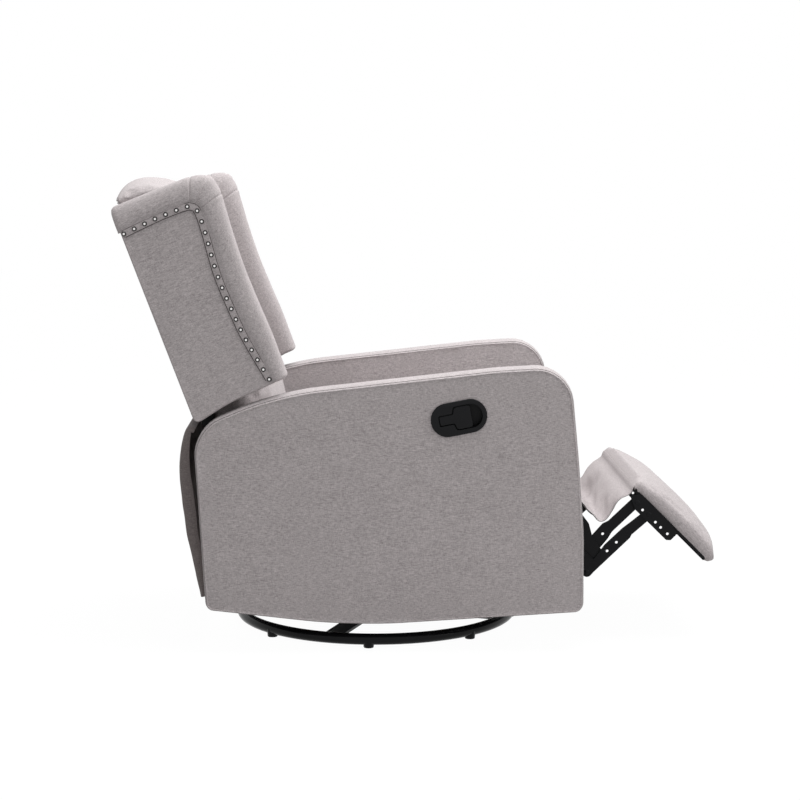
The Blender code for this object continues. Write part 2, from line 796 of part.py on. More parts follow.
def handle():
    outline = bezel_outline()
    face = -ARM_OUT - BEZEL_PROUD
    back = -ARM_OUT + CUP_DEPTH
    seat = -ARM_OUT - FIT
    stations = ((face, -0.002), (face + 0.001, 0), (seat, 0), (seat, -BEZEL_LIP), (back, -BEZEL_LIP))
    bezel = solid("handle_bezel", loft(outline, stations, HANDLE), "chassis", BLACK_PLASTIC)
    pocket = plate(grown(outline, -BEZEL_LIP - CUP_WALL), face - CUP_WALL, back - CUP_FLOOR, HANDLE)
    combine(bezel, solid("bezel_pocket", pocket), "DIFFERENCE")
    wall_radius = BEZEL_WIDTH / 2 - BEZEL_LIP - CUP_WALL / 2
    round_end = (BEZEL_WIDTH - BEZEL_LENGTH) / 2
    past_end = min(0, handle_pin_place()[0] - round_end)
    hinge = handle_pin(HANDLE_PIN_RADIUS, math.sqrt(wall_radius**2 - past_end**2))
    combine(bezel, solid("bezel_pin", hinge), "UNION")

    stem = PADDLE_STEM_WIDTH / 2
    wide = PADDLE_WIDTH / 2
    paddle = fillet(
        (
            (PADDLE_REAR, -stem, 0.005),
            (PADDLE_SHOULDER - 0.010, -stem, 0.012),
            (PADDLE_SHOULDER, -wide, 0.010),
            (PADDLE_FRONT, -wide, 0.007),
            (PADDLE_FRONT, wide, 0.007),
            (PADDLE_SHOULDER, wide, 0.010),
            (PADDLE_SHOULDER - 0.010, stem, 0.012),
            (PADDLE_REAR, stem, 0.005),
        )
    )
    front = paddle_face()
    stations = ((front, -0.0015), (front + 0.001, 0), (front + PADDLE_THICK, 0))
    lever = solid("handle_paddle", loft(paddle, stations, HANDLE), "handle", BLACK_PLASTIC)
    bore = handle_pin(HANDLE_PIN_RADIUS + PIN_FIT, BEZEL_WIDTH)
    combine(lever, solid("paddle_bore", bore), "DIFFERENCE")


def release_cable():
    x, z = HANDLE.at(0, 0)
    start = -ARM_OUT + CUP_DEPTH + FIT
    wall = -ARM_IN - ARM_WRAP
    route = (
        (x, start, z),
        (x, start + 0.010, z),
        (x - 0.004, start + 0.020, z - 0.012),
        (x - 0.008, start + 0.025, z - 0.045),
        (CABLE_END_X, start + 0.026, CABLE_END_Z + 0.060),
        (CABLE_END_X, start + 0.028, CABLE_END_Z + 0.025),
        (CABLE_END_X, wall - 0.008, CABLE_END_Z + 0.004),
        (CABLE_END_X, wall - 0.002, CABLE_END_Z),
        (CABLE_END_X, -ARM_IN, CABLE_END_Z),
    )
    rod("release_cable", route, CABLE_RADIUS, "chassis", BLACK_PLASTIC, 2)


# Seat


def seat_frame():
    top = SEAT_RAIL_TOP
    for name, side in SIDES:
        rail = block(
            SEAT_RAIL_REAR, SEAT_RAIL_FRONT, side * SEAT_RAIL_IN, side * SEAT_RAIL_OUT, SEAT_RAIL_LOW, top
        )
        beam = solid(f"seat_rail_{name}", rail, "seat", BLACK_STEEL)
        root = SEAT_RAIL_OUT - SEAT_RAIL_WIDTH / 2
        for centre, layer in ((SEAT_PIVOT_MAIN, 1), (SEAT_PIVOT_GUIDE, 3)):
            add_pin(beam, centre, PIN_RADIUS, side * root, side * layer_span(layer)[1])
    reach = SEAT_RAIL_IN - FIT
    for name, x in (("front", SEAT_RAIL_FRONT - SEAT_CROSS_RAIL), ("rear", SEAT_RAIL_REAR)):
        rail = block(x, x + SEAT_CROSS_RAIL, -reach, reach, SEAT_RAIL_LOW, top)
        solid(f"seat_{name}_rail", rail, "seat", TIMBER)


def seat_springs():
    z = SEAT_RAIL_TOP + FIT + SEAT_WIRE
    first = SEAT_RAIL_REAR + SEAT_CROSS_RAIL / 2
    last = SEAT_RAIL_FRONT - SEAT_CROSS_RAIL / 2
    steps = 4 * SEAT_SPRING_WAVES
    spacing = 2 * SEAT_RAIL_IN / (SEAT_SPRING_COUNT + 1)
    for n in range(SEAT_SPRING_COUNT):
        middle = -SEAT_RAIL_IN + spacing * (n + 1)
        points = []
        for k in range(steps + 1):
            swing = SEAT_SPRING_SWING * math.sin(k * math.pi / 2)
            points.append((first + (last - first) * k / steps, middle + swing, z))
        rod(f"seat_spring_{n + 1}", points, SEAT_WIRE, "seat", BARE_STEEL, 0)


def crowned_stations(half, edge, middle_count):
    """Stations from side to side that draw in towards both ends."""
    ends = ((half, -edge), (half - 0.4 * edge, -0.4 * edge), (half - 1.2 * edge, -0.05 * edge))
    inner = half - 2.5 * edge
    middle = [(-inner + 2 * inner * k / middle_count, 0) for k in range(middle_count + 1)]
    return [(-y, by) for y, by in ends] + middle + [(y, by) for y, by in ends[::-1]]


def seat_cushion():
    top = SEAT_LOW + SEAT_HEIGHT
    outline = fillet(
        (
            (SEAT_TONGUE, SEAT_LOW, 0.012),
            (0.150, SEAT_LOW, 0),
            (SEAT_FRONT - 0.012, SEAT_LOW, 0.020),
            (SEAT_FRONT, SEAT_LOW + 0.070, 0.060),
            (SEAT_FRONT - 0.016, top, SEAT_NOSE),
            (0.300, top + 0.003, 0.3),
            (0.120, top, 0.5),
            (SEAT_REAR, top - 0.014, 0.035),
            (SEAT_REAR, SEAT_LOW + SEAT_TONGUE_HEIGHT, 0.012),
            (SEAT_TONGUE, SEAT_LOW + SEAT_TONGUE_HEIGHT, 0.012),
        )
    )
    bm = loft(outline, crowned_stations(SEAT_HALF, 0.014, 6))
    for vert in bm.verts:
        rise = max(0, (vert.co.z - SEAT_LOW) / SEAT_HEIGHT)
        vert.co.z += SEAT_CROWN * rise * (1 - (vert.co.y / SEAT_HALF) ** 2)
    solid("seat_cushion", bm, "seat", LINEN)


# Footrest linkage


def layer_span(layer):
    """The inner and outer face of one of the side-by-side link plates."""
    inner = SEAT_RAIL_OUT + FIT + layer * (LINK + RUN)
    return inner, inner + LINK


def link_plate(name, body, start, end, layer, side):
    inner, outer = layer_span(layer)
    bm = plate(stadium(start, end, LINK_RADIUS), side * inner, side * outer)
    return solid(name, bm, body, BLACK_STEEL)


def along(start, end, share):
    return start[0] + share * (end[0] - start[0]), start[1] + share * (end[1] - start[1])


def footrest_links():
    for name, side in SIDES:
        spans = [[side * y for y in layer_span(layer)] for layer in range(LINK_LAYERS)]
        past = [(inner - side * RUN, outer + side * RUN) for inner, outer in spans]

        upper = link_plate(f"footrest_upper_bar_{name}", "upper_bar", KNEE_UPPER, PAD_PIVOT_UPPER, 0, side)
        cut_pin_hole(upper, KNEE_UPPER, PIN_RADIUS, *past[0])
        for share in UPPER_BAR_HOLES:
            cut_pin_hole(upper, along(KNEE_UPPER, PAD_PIVOT_UPPER, share), SPARE_HOLE_RADIUS, *past[0])

        main = link_plate(f"footrest_main_link_{name}", "main_link", SEAT_PIVOT_MAIN, KNEE_LOWER, 1, side)
        cut_pin_hole(main, SEAT_PIVOT_MAIN, PIN_RADIUS, *past[1])
        add_pin(main, KNEE_UPPER, PIN_RADIUS, spans[0][0], spans[1][0] + side * LINK / 2)
        add_pin(main, KNEE_LOWER, PIN_RADIUS, spans[1][1] - side * LINK / 2, spans[2][1])

        lower = link_plate(f"footrest_lower_bar_{name}", "lower_bar", TAIL_PIVOT, PAD_PIVOT_LOWER, 2, side)
        cut_pin_hole(lower, KNEE_LOWER, PIN_RADIUS, *past[2])
        for share in LOWER_BAR_HOLES:
            cut_pin_hole(lower, along(KNEE_LOWER, PAD_PIVOT_LOWER, share), SPARE_HOLE_RADIUS, *past[2])
        add_pin(lower, PAD_PIVOT_LOWER, PIN_RADIUS, spans[2][1] - side * LINK / 2, spans[3][1])

        guide = link_plate(f"footrest_guide_link_{name}", "guide_link", SEAT_PIVOT_GUIDE, TAIL_PIVOT, 3, side)
        cut_pin_hole(guide, SEAT_PIVOT_GUIDE, PIN_RADIUS, *past[3])

        bracket = solid(
            f"footrest_bracket_{name}", plate(bracket_outline(), *spans[3], PAD), "footrest", BLACK_STEEL
        )
        cut_pin_hole(bracket, PAD_PIVOT_LOWER, PIN_RADIUS, *past[3])
        cut_pin_hole(bracket, PAD_PIVOT_UPPER, SPARE_HOLE_RADIUS, *past[3])
        for d in BRACKET_HOLES:
            cut_pin_hole(bracket, PAD.at(d, -BRACKET_HOLE_DROP), SPARE_HOLE_RADIUS, *past[3])


def bracket_outline():
    end = BRACKET_START + BRACKET_LENGTH
    return fillet(
        (
            (BRACKET_START, -FIT, 0.004),
            (BRACKET_START, -BRACKET_DEPTH, 0.016),
            (end - 0.020, -BRACKET_DEPTH, 0.010),
            (end, -BRACKET_DEPTH / 2, 0.010),
            (end, -FIT, 0.004),
        )
    )


def footrest_pad():
    length = PAD_LENGTH
    thick = PAD_THICK
    outline = fillet(
        (
            (0, FIT, 0.008),
            (length - 0.002, FIT, 0.010),
            (length, 0.75 * thick, 0.022),
            (0.72 * length, thick, 0.16),
            (0.28 * length, thick, 0.16),
            (0, 0.75 * thick, 0.020),
        )
    )
    bm = loft(outline, crowned_stations(PAD_HALF, 0.007, 4), PAD)
    solid("footrest_pad", bm, "footrest", LINEN)
    half = layer_span(3)[0] - FIT
    last = PAD_LENGTH - BOARD_INSET
    corners = [
        Vector(p) for p in ((BOARD_INSET, -BOARD_THICK), (last, -BOARD_THICK), (last, 0), (BOARD_INSET, 0))
    ]
    solid("footrest_board", plate(corners, -half, half, PAD), "footrest", TIMBER)


def bridge_cloth():
    first = (SEAT_RAIL_FRONT + 2 * FIT, BRIDGE_ROOT_Z)
    last = PAD.at(BOARD_INSET - FIT, -BOARD_THICK / 2)
    route = (first, *BRIDGE_ROUTE, last)
    bm = plate(ribbon(route[::-1], BRIDGE_THICK)[::-1], -BRIDGE_HALF, BRIDGE_HALF)
    solid("bridge_cloth", bm, "seat", LINEN)


def rear_flap():
    bm = plate(ribbon(FLAP_ROUTE[::-1], FLAP_THICK), -FLAP_HALF, FLAP_HALF)
    solid("rear_flap", bm, "chassis", LINEN)


# Back


def back_frame():
    front = WING_CORNERS[0][0] + BACK_FRAME_THICK
    rear = WING_CORNERS[0][0]
    top = WING_CORNERS[-1][1]
    low = BACK_FRAME_LOW
    corners = [Vector(p) for p in ((rear, low), (front, low), (front, top), (rear, top))]
    frame = solid("back_frame", plate(corners, -BACK_HALF, BACK_HALF, BACK), "backrest", TIMBER)
    room = top - low - 3 * BACK_FRAME_RAIL
    reach = BACK_HALF - BACK_FRAME_STILE
    for k in range(2):
        sill = low + BACK_FRAME_RAIL + k * (room / 2 + BACK_FRAME_RAIL)
        head = sill + room / 2
        behind = rear - BACK_FRAME_THICK
        before = front + BACK_FRAME_THICK
        window = [Vector(p) for p in ((behind, sill), (before, sill), (before, head), (behind, head))]
        combine(frame, solid("back_window", plate(window, -reach, reach, BACK)), "DIFFERENCE")


def back_panel():
    front = WING_CORNERS[0][0] - FIT
    rear = front - BACK_PANEL_THICK
    low = BACK_PANEL_LOW
    top = WING_CORNERS[-1][1]
    outline = fillet(((rear, low, 0.004), (front, low, 0), (front, top, 0), (rear, top, 0.006)))
    edge = WING_FACE - 0.004
    bm = loft(outline, ((-WING_FACE, -0.003), (-edge, 0), (edge, 0), (WING_FACE, -0.003)), BACK)
    solid("back_panel", bm, "backrest", LINEN)


def back_cushion():
    rear = WING_CORNERS[0][0] + BACK_FRAME_THICK + FIT
    over = WING_CORNERS[0][0] - FIT - BACK_PANEL_THICK - CROWN_REAR
    step = WING_CORNERS[-1][1] + FIT
    outline = fillet(
        (
            (rear, BACK_FRAME_LOW, 0),
            (CUSHION_LUMBAR - 0.006, CUSHION_LOW, 0.060),
            (CUSHION_LUMBAR, 0.150, 0.30),
            (0.5 * (CUSHION_LUMBAR + CUSHION_HEAD), 0.400, 0.8),
            (CUSHION_HEAD, 0.590, 0.16),
            (0.020, CROWN_TOP - 0.028, 0.07),
            (-0.060, CROWN_TOP, 0.09),
            (over, CROWN_TOP - 0.004, 0.030),
            (over, step, 0),
            (rear, step, 0),
        )
    )
    bm = loft(outline, crowned_stations(BACK_HALF, CUSHION_SIDE, 8), BACK)
    for vert in bm.verts:
        u, w = BACK.of(vert.co.x, vert.co.z)
        if w > step:
            w = step + (w - step) * (1 - CROWN_FALL * (vert.co.y / BACK_HALF) ** 2)
            vert.co.x, vert.co.z = BACK.at(u, w)
    solid("back_cushion", bm, "backrest", LINEN)


def wings():
    outline = fillet(WING_CORNERS)
    thick = WING_FACE - WING_IN
    stations = (
        (WING_IN, -WING_EDGE),
        (WING_IN + 0.2 * WING_EDGE, -0.5 * WING_EDGE),
        (WING_IN + WING_EDGE, 0),
        (WING_IN + 0.5 * thick, 0),
        (WING_FACE - 1.6 * WING_EDGE, 0),
        (WING_FACE - 0.5 * WING_EDGE, -0.25 * WING_EDGE),
        (WING_FACE, -WING_EDGE),
    )
    for name, side in SIDES:
        bm = loft(outline, [(side * y, by) for y, by in stations], BACK)
        solid(f"wing_{name}", bm, "backrest", LINEN)


def trim_route():
    """Nail places at an even pitch along the trim line."""
    places = []
    left_over = 0.0
    for start, end in zip(TRIM_CORNERS, TRIM_CORNERS[1:]):
        leg = math.dist(start, end)
        at = left_over
        while at < leg:
            places.append(along(start, end, at / leg))
            at += NAIL_PITCH
        left_over = at - leg
    return places


def nail_trims():
    outline = ribbon(TRIM_CORNERS, TRIM_WIDTH)
    for name, side in SIDES:
        low = side * (WING_FACE + FIT)
        high = side * (WING_FACE + FIT + TRIM_THICK)
        band = solid(f"nail_trim_{name}", plate(outline, low, high, BACK), "backrest", NAIL_METAL)
        nails = bmesh.new()
        for u, w in trim_route():
            x, z = BACK.at(u, w - TRIM_WIDTH / 2)
            spot = Matrix.Translation((x, side * (WING_FACE + FIT + NAIL_HEIGHT / 2 + TRIM_THICK / 4), z))
            turn = Matrix.Rotation(-side * math.pi / 2, 4, "X")
            bmesh.ops.create_cone(
                nails,
                cap_ends=True,
                segments=NAIL_SIDES,
                radius1=NAIL_RADIUS,
                radius2=0.45 * NAIL_RADIUS,
                depth=NAIL_HEIGHT,
                matrix=spot @ turn,
            )
        combine(band, solid("nail_heads", nails), "UNION")


def back_brackets():
    rear = WING_CORNERS[0][0]
    front = rear + BACK_FRAME_THICK
    ear = 3 * HINGE_PIN_RADIUS
    outline = fillet(
        (
            (ear, -ear, 0.016),
            (ear, ear, 0.016),
            (front + ear, BACK_BRACKET_KNEE, 0.030),
            (front, BACK_BRACKET_TOP, 0.006),
            (rear, BACK_BRACKET_TOP, 0.006),
            (rear, BACK_BRACKET_HEEL, 0.015),
            (-ear, -ear, 0.016),
        )
    )
    for name, side in SIDES:
        sheet = plate(outline, side * BACK_BRACKET_IN, side * BACK_BRACKET_OUT, BACK)
        bracket = solid(f"back_bracket_{name}", sheet, "backrest", BLACK_STEEL)
        root = side * (BACK_BRACKET_OUT - PLATE / 2)
        add_pin(bracket, (BACK_X, BACK_Z), HINGE_PIN_RADIUS, root, side * SIDE_PLATE_OUT)


floor_ring()
base_cross()
race("swivel_race_lower", LOWER_RACE, "base")
race("swivel_race_upper", UPPER_RACE, "turntable")
king_bolt()
rocker_cradle()
rocker_springs()
rocker_cams()
spring_rails()
side_plates()
tail_rail()
arms()
handle()
release_cable()
seat_frame()
seat_springs()
seat_cushion()
footrest_links()
footrest_pad()
bridge_cloth()
rear_flap()
back_frame()
back_panel()
back_cushion()
wings()
nail_trims()
back_brackets()
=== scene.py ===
"""Looks of the swivel rocker recliner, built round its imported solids. Metres, in the part's own frame."""

import json
import math

import bmesh
import bpy
from mathutils import Matrix, Vector, noise


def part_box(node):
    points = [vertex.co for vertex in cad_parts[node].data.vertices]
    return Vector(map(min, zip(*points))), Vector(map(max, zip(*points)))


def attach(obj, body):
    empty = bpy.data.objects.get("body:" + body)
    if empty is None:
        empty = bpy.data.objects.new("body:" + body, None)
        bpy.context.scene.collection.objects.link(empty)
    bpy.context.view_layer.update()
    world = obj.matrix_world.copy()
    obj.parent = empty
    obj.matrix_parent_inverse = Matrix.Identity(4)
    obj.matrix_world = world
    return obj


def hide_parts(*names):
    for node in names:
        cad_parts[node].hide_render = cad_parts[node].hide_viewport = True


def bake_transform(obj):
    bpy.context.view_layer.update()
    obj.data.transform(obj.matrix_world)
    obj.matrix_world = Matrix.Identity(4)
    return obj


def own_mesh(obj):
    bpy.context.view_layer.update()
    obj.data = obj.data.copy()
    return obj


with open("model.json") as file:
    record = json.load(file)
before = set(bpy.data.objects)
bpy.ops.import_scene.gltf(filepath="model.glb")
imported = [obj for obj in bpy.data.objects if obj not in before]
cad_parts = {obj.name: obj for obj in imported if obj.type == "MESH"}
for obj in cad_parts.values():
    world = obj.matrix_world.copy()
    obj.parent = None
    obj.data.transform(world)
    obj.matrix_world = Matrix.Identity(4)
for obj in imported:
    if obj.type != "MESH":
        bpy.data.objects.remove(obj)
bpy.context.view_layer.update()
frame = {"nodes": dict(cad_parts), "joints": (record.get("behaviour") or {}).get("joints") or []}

# Studio
# A plain white floor under soft overhead light, and the camera where the photograph was taken.
# The floor reads white to the camera and still keeps the chair's soft shadow.
joints = {joint["name"]: joint for joint in frame["joints"]}
swivel_x = joints["swivel"]["pos_m"][0]
scene = bpy.context.scene
scene.view_settings.view_transform = "Standard"

CAMERA_PLACE = (swivel_x - 0.057, -4.546, 1.067)
CAMERA_DROP = math.radians(7.01)
CAMERA_TURN = math.radians(-1.42)
CAMERA_SENSOR = 36
CAMERA_FOCAL_WIDTHS = 2.47
camera_data = bpy.data.cameras.new("camera")
camera_data.sensor_width = CAMERA_SENSOR
camera_data.lens = CAMERA_SENSOR * CAMERA_FOCAL_WIDTHS
camera = bpy.data.objects.new("camera", camera_data)
camera.location = CAMERA_PLACE
camera.rotation_euler = (math.pi / 2 - CAMERA_DROP, 0, CAMERA_TURN)
scene.collection.objects.link(camera)
scene.camera = camera


class Wire:
    """A shader socket: arithmetic on it adds Math nodes, and node() adds any other node."""

    def __init__(self, tree, socket=None):
        self.tree = tree
        self.socket = socket

    def node(self, kind, settings=None, inputs=None, output=0):
        made = self.tree.nodes.new("ShaderNode" + kind)
        for name, value in (settings or {}).items():
            setattr(made, name, value)
        for name, value in (inputs or {}).items():
            self.feed(made.inputs[name], value)
        return Wire(self.tree, made.outputs[output])

    def feed(self, port, value):
        if isinstance(value, Wire):
            self.tree.links.new(value.socket, port)
        else:
            port.default_value = value

    def maths(self, operation, first, second):
        return self.node("Math", {"operation": operation}, {0: first, 1: second})

    def __add__(self, other):
        return self.maths("ADD", self, other)

    def __sub__(self, other):
        return self.maths("SUBTRACT", self, other)

    def __rsub__(self, other):
        return self.maths("SUBTRACT", other, self)

    def __mul__(self, other):
        return self.maths("MULTIPLY", self, other)

    def __gt__(self, other):
        return self.maths("GREATER_THAN", self, other)

    __radd__ = __add__
    __rmul__ = __mul__

    def mix(self, first, second):
        """A colour between two, with this wire as the share of the second."""
        return self.node("Mix", {"data_type": "RGBA"}, {0: self, 6: (*first, 1), 7: (*second, 1)}, 2)


def seen_directly(tree):
    """1 for the rays that show the surroundings as a picture, 0 for those that only carry light."""
    start = Wire(tree)
    rays = [start.node("LightPath", output=f"Is {kind} Ray") for kind in ("Camera", "Glossy", "Transmission")]
    return (rays[0] + rays[1] + rays[2]) > 0.5


AMBIENT = 0.60
world = bpy.data.worlds.new("studio")
world.use_nodes = True
scene.world = world
sky = world.node_tree.nodes["Background"]
sky.inputs["Color"].default_value = (1, 1, 1, 1)
sky_strength = AMBIENT + (1 - AMBIENT) * seen_directly(world.node_tree)
sky_strength.feed(sky.inputs["Strength"], sky_strength)

FLOOR_HALF = 14.0
FLOOR_SHARE = 0.92
FLOOR_GLOW = 1.06
FLOOR_GREY = (0.42, 0.42, 0.42, 1)
floor_paint = bpy.data.materials.new("studio_floor")
floor_paint.use_nodes = True
floor_shader = floor_paint.node_tree.nodes["Principled BSDF"]
floor_shader.inputs["Base Color"].default_value = FLOOR_GREY
floor_shader.inputs["Roughness"].default_value = 1.0
floor_seen = seen_directly(floor_paint.node_tree)
floor_white = floor_seen.node("Emission", None, {"Color": (1, 1, 1, 1), "Strength": FLOOR_GLOW})
floor_matt = Wire(floor_paint.node_tree, floor_shader.outputs[0])
floor_mix = floor_seen.node("MixShader", None, {0: floor_seen * FLOOR_SHARE, 1: floor_matt, 2: floor_white})
floor_mix.feed(floor_paint.node_tree.nodes["Material Output"].inputs["Surface"], floor_mix)
bm = bmesh.new()
bmesh.ops.create_grid(bm, x_segments=1, y_segments=1, size=FLOOR_HALF)
floor_mesh = bpy.data.meshes.new("studio_floor")
bm.to_mesh(floor_mesh)
bm.free()
floor_mesh.materials.append(floor_paint)
floor = bpy.data.objects.new("studio_floor", floor_mesh)
scene.collection.objects.link(floor)

for lamp_name, lamp_place, lamp_size, lamp_watts in (
    ("overhead", (0.5, 0.1, 3.2), 2.6, 108.0),
    ("front_fill", (3.2, -1.6, 1.7), 1.4, 22.0),
):
    lamp = bpy.data.lights.new(lamp_name, "AREA")
    lamp.size = lamp_size
    lamp.energy = lamp_watts
    lamp_object = bpy.data.objects.new(lamp_name, lamp)
    lamp_object.location = lamp_place
    aim = Vector((0, 0, 0.5)) - Vector(lamp_place)
    lamp_object.rotation_euler = aim.to_track_quat("-Z", "Y").to_euler()
    scene.collection.objects.link(lamp_object)

# Floor ring
# A bent steel tube closed into a circle and powder-coated gloss black, with round glides below it.
# The flat steel cross inside it is welded to the tube and carries the swivel bearing.
RING_RADIUS = 0.3125
RING_TUBE = 0.0125
RING_HEIGHT = 0.0185
GLIDE_COUNT = 8
GLIDE_TURN = math.radians(-93.8)
GLIDE_RADIUS = 0.013
GLIDE_EDGE = 0.0015


def start_material(name):
    """A new material: itself, its shader and the Object coordinates to draw on."""
    material = bpy.data.materials.new(name)
    material.use_nodes = True
    shader = material.node_tree.nodes["Principled BSDF"]
    spot = Wire(material.node_tree).node("TexCoord", output="Object")
    return material, shader, spot


def speckle(spot, scale, detail=2.0):
    return spot.node("TexNoise", None, {"Vector": spot, "Scale": scale, "Detail": detail})


def black_coat(name, roughness):
    """Black powder coat: a fine orange peel, and a little dust that dulls it in patches."""
    material, shader, spot = start_material(name)
    dust = speckle(spot, 22.0, 4.0)
    spot.feed(shader.inputs["Base Color"], dust.mix((0.003, 0.003, 0.004), (0.008, 0.008, 0.009)))
    spot.feed(shader.inputs["Roughness"], roughness + 0.12 * dust)
    shader.inputs["Specular IOR Level"].default_value = 0.12
    peel = speckle(spot, 700.0)
    bump = peel.node("Bump", None, {"Strength": 0.12, "Distance": 0.0004, "Height": peel})
    spot.feed(shader.inputs["Normal"], bump)
    return material


def piece(name, bm, body, material, slot, *nodes, sharp=math.radians(40)):
    """A finished mesh as a piece of the chair: it rides on a body and stands for CAD nodes."""
    bmesh.ops.remove_doubles(bm, verts=bm.verts, dist=1e-6)
    bmesh.ops.recalc_face_normals(bm, faces=bm.faces)
    mesh = bpy.data.meshes.new(name)
    bm.to_mesh(mesh)
    bm.free()
    mesh.shade_smooth()
    mesh.set_sharp_from_angle(angle=sharp)
    mesh.materials.append(material)
    made = bpy.data.objects.new(name, mesh)
    scene.collection.objects.link(made)
    if body:
        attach(made, body)
    if nodes:
        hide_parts(*nodes)
    return made


def dress(material, *names):
    """Gives CAD nodes that keep their shape a better finish."""
    for name in names:
        mesh = frame["nodes"][name].data
        mesh.materials.clear()
        mesh.materials.append(material)


ring_coat = black_coat("ring_coat", 0.14)
bm = bmesh.new()
section = Matrix.Translation((RING_RADIUS, 0, RING_HEIGHT)) @ Matrix.Rotation(math.pi / 2, 4, "X")
bmesh.ops.create_circle(bm, segments=16, radius=RING_TUBE, matrix=section)
every = bm.verts[:] + bm.edges[:]
bmesh.ops.spin(bm, geom=every, axis=(0, 0, 1), cent=(0, 0, 0), angle=math.tau, steps=120, use_merge=True)
for k in range(GLIDE_COUNT):
    angle = GLIDE_TURN + k * math.tau / GLIDE_COUNT
    spot = Vector((RING_RADIUS * math.cos(angle), RING_RADIUS * math.sin(angle), RING_HEIGHT / 2))
    glide = bmesh.ops.create_cone(
        bm,
        cap_ends=True,
        segments=24,
        radius1=0.86 * GLIDE_RADIUS,
        radius2=GLIDE_RADIUS,
        depth=RING_HEIGHT,
        matrix=Matrix.Translation(spot),
    )
    foot = {v for v in glide["verts"] if v.co.z < GLIDE_EDGE}
    rim = [e for e in bm.edges if foot.issuperset(e.verts)]
    bmesh.ops.bevel(bm, geom=rim, offset=GLIDE_EDGE, affect="EDGES", segments=2, profile=0.5, material=-1)
bmesh.ops.translate(bm, verts=bm.verts, vec=(swivel_x, 0, 0))
piece("ring", bm, "base", ring_coat, "black_steel", "floor_ring")

plate_coat = black_coat("plate_coat", 0.34)
dress(plate_coat, "base_cross", "rocker_cradle", "side_plate_left", "side_plate_right")
dress(plate_coat, "seat_rail_left", "seat_rail_right", "back_bracket_left", "back_bracket_right")

# Swivel and rocker works
# Zinc-plated bearing races, king bolt and coil springs, and bare frame timber for the cams and rails.
# All of it lies under the seat and is fixed with screws; the real springs shorten as the chair rocks on them,
# but these coils keep one length.
COIL_RADIUS = 0.014
COIL_WIRE = 0.0025
COIL_TURNS = 5
COIL_STEPS = 160


def zinc():
    """Bright zinc plate, clouded where it has been handled."""
    material, shader, spot = start_material("zinc")
    cloud = speckle(spot, 60.0, 5.0)
    spot.feed(shader.inputs["Base Color"], cloud.mix((0.36, 0.36, 0.37), (0.55, 0.55, 0.55)))
    spot.feed(shader.inputs["Roughness"], 0.28 + 0.2 * cloud)
    shader.inputs["Metallic"].default_value = 1.0
    return material


def frame_timber():
    """Planed softwood: long streaks of grain and slow bands of colour."""
    material, shader, spot = start_material("frame_timber")
    drawn = spot.node("Mapping", None, {"Vector": spot, "Scale": (60.0, 6.0, 60.0)})
    grain = drawn.node("TexNoise", None, {"Vector": drawn, "Scale": 3.0, "Detail": 6.0, "Distortion": 0.6})
    spot.feed(shader.inputs["Base Color"], grain.mix((0.30, 0.19, 0.10), (0.56, 0.41, 0.25)))
    spot.feed(shader.inputs["Roughness"], 0.6 + 0.2 * grain)
    bump = grain.node("Bump", None, {"Strength": 0.2, "Distance": 0.0006, "Height": grain})
    spot.feed(shader.inputs["Normal"], bump)
    return material


bare_zinc = zinc()
bare_timber = frame_timber()
dress(bare_zinc, "swivel_race_lower", "swivel_race_upper", "king_bolt")
dress(bare_zinc, "seat_spring_1", "seat_spring_2", "seat_spring_3", "seat_spring_4")
dress(bare_timber, "rocker_cam_left", "rocker_cam_right")
dress(bare_timber, "front_spring_rail", "rear_spring_rail")
dress(bare_timber, "arm_frame_left", "arm_frame_right")


def coil(foot, height):
    """A compression spring of round wire that stands on its foot."""
    start = Matrix.Translation(foot + Vector((COIL_RADIUS, 0, COIL_WIRE)))
    upright = Matrix.Rotation(math.pi / 2, 4, "X")
    bm = bmesh.new()
    bmesh.ops.create_circle(bm, segments=10, radius=COIL_WIRE, matrix=start @ upright)
    rise = Vector((0, 0, (height - 2 * COIL_WIRE) / COIL_STEPS))
    bmesh.ops.spin(
        bm,
        geom=bm.verts[:] + bm.edges[:],
        cent=foot,
        axis=(0, 0, 1),
        dvec=rise,
        angle=math.tau * COIL_TURNS,
        steps=COIL_STEPS,
    )
    bmesh.ops.holes_fill(bm, edges=bm.edges, sides=0)
    return bm


for name in [f"rocker_spring_{end}_{side}" for end in ("front", "rear") for side in ("left", "right")]:
    low, high = (Vector(corner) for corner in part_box(name))
    foot = Vector(((low.x + high.x) / 2, (low.y + high.y) / 2, low.z))
    height = high.z - low.z
    spring = piece(f"{name}_coil", coil(foot, height), "turntable", bare_zinc, "bare_steel", name)
    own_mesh(spring)

# Arms
# Flat track arms: a timber frame under foam, covered in warm grey slub linen. A flat outside and a flat
# inside panel are sewn to a boxed band that runs over the top and down the front and back.
# Each seam draws the cloth in and leaves small puckers beside it; a thin dark cord along it is painted shadow
# for its groove.
ARM_INNER = 0.280
ARM_OUTER = 0.360
ARM_PANEL = 0.0079
ARM_LINING = 0.0055
ARM_SEAM_GAP = 0.0003
ARM_BAND_CROWN = 0.0045
ARM_BAND_EDGE = 0.003
ARM_PANEL_EDGE = 0.0042
ARM_PANEL_WAVE = 0.0006
PUCKER_RISE = 0.0011
PUCKER_REACH = 0.16
SEAM_DRAW = 0.0015
SEAM_DRAW_REACH = 0.035
ARM_CORNERS = (
    (0.4435, 0.0875, 0.018),
    (0.4425, 0.250, 0.6),
    (0.431, 0.410, 0.6),
    (0.4102, 0.6205, 0.078),
    (0.255, 0.612, 0.35),
    (-0.215, 0.561, 0.6),
    (-0.394, 0.487, 0.085),
    (-0.3705, 0.096, 0.015),
    (-0.055, 0.059, 1.2),
)
LINEN_DARK = (0.250, 0.227, 0.227)
LINEN_LIGHT = (0.610, 0.558, 0.562)
SEAM_RADIUS = 0.0009
SEAM_PLACE = 0.0007
HANDLE_X = 0.173
HANDLE_Z = 0.513
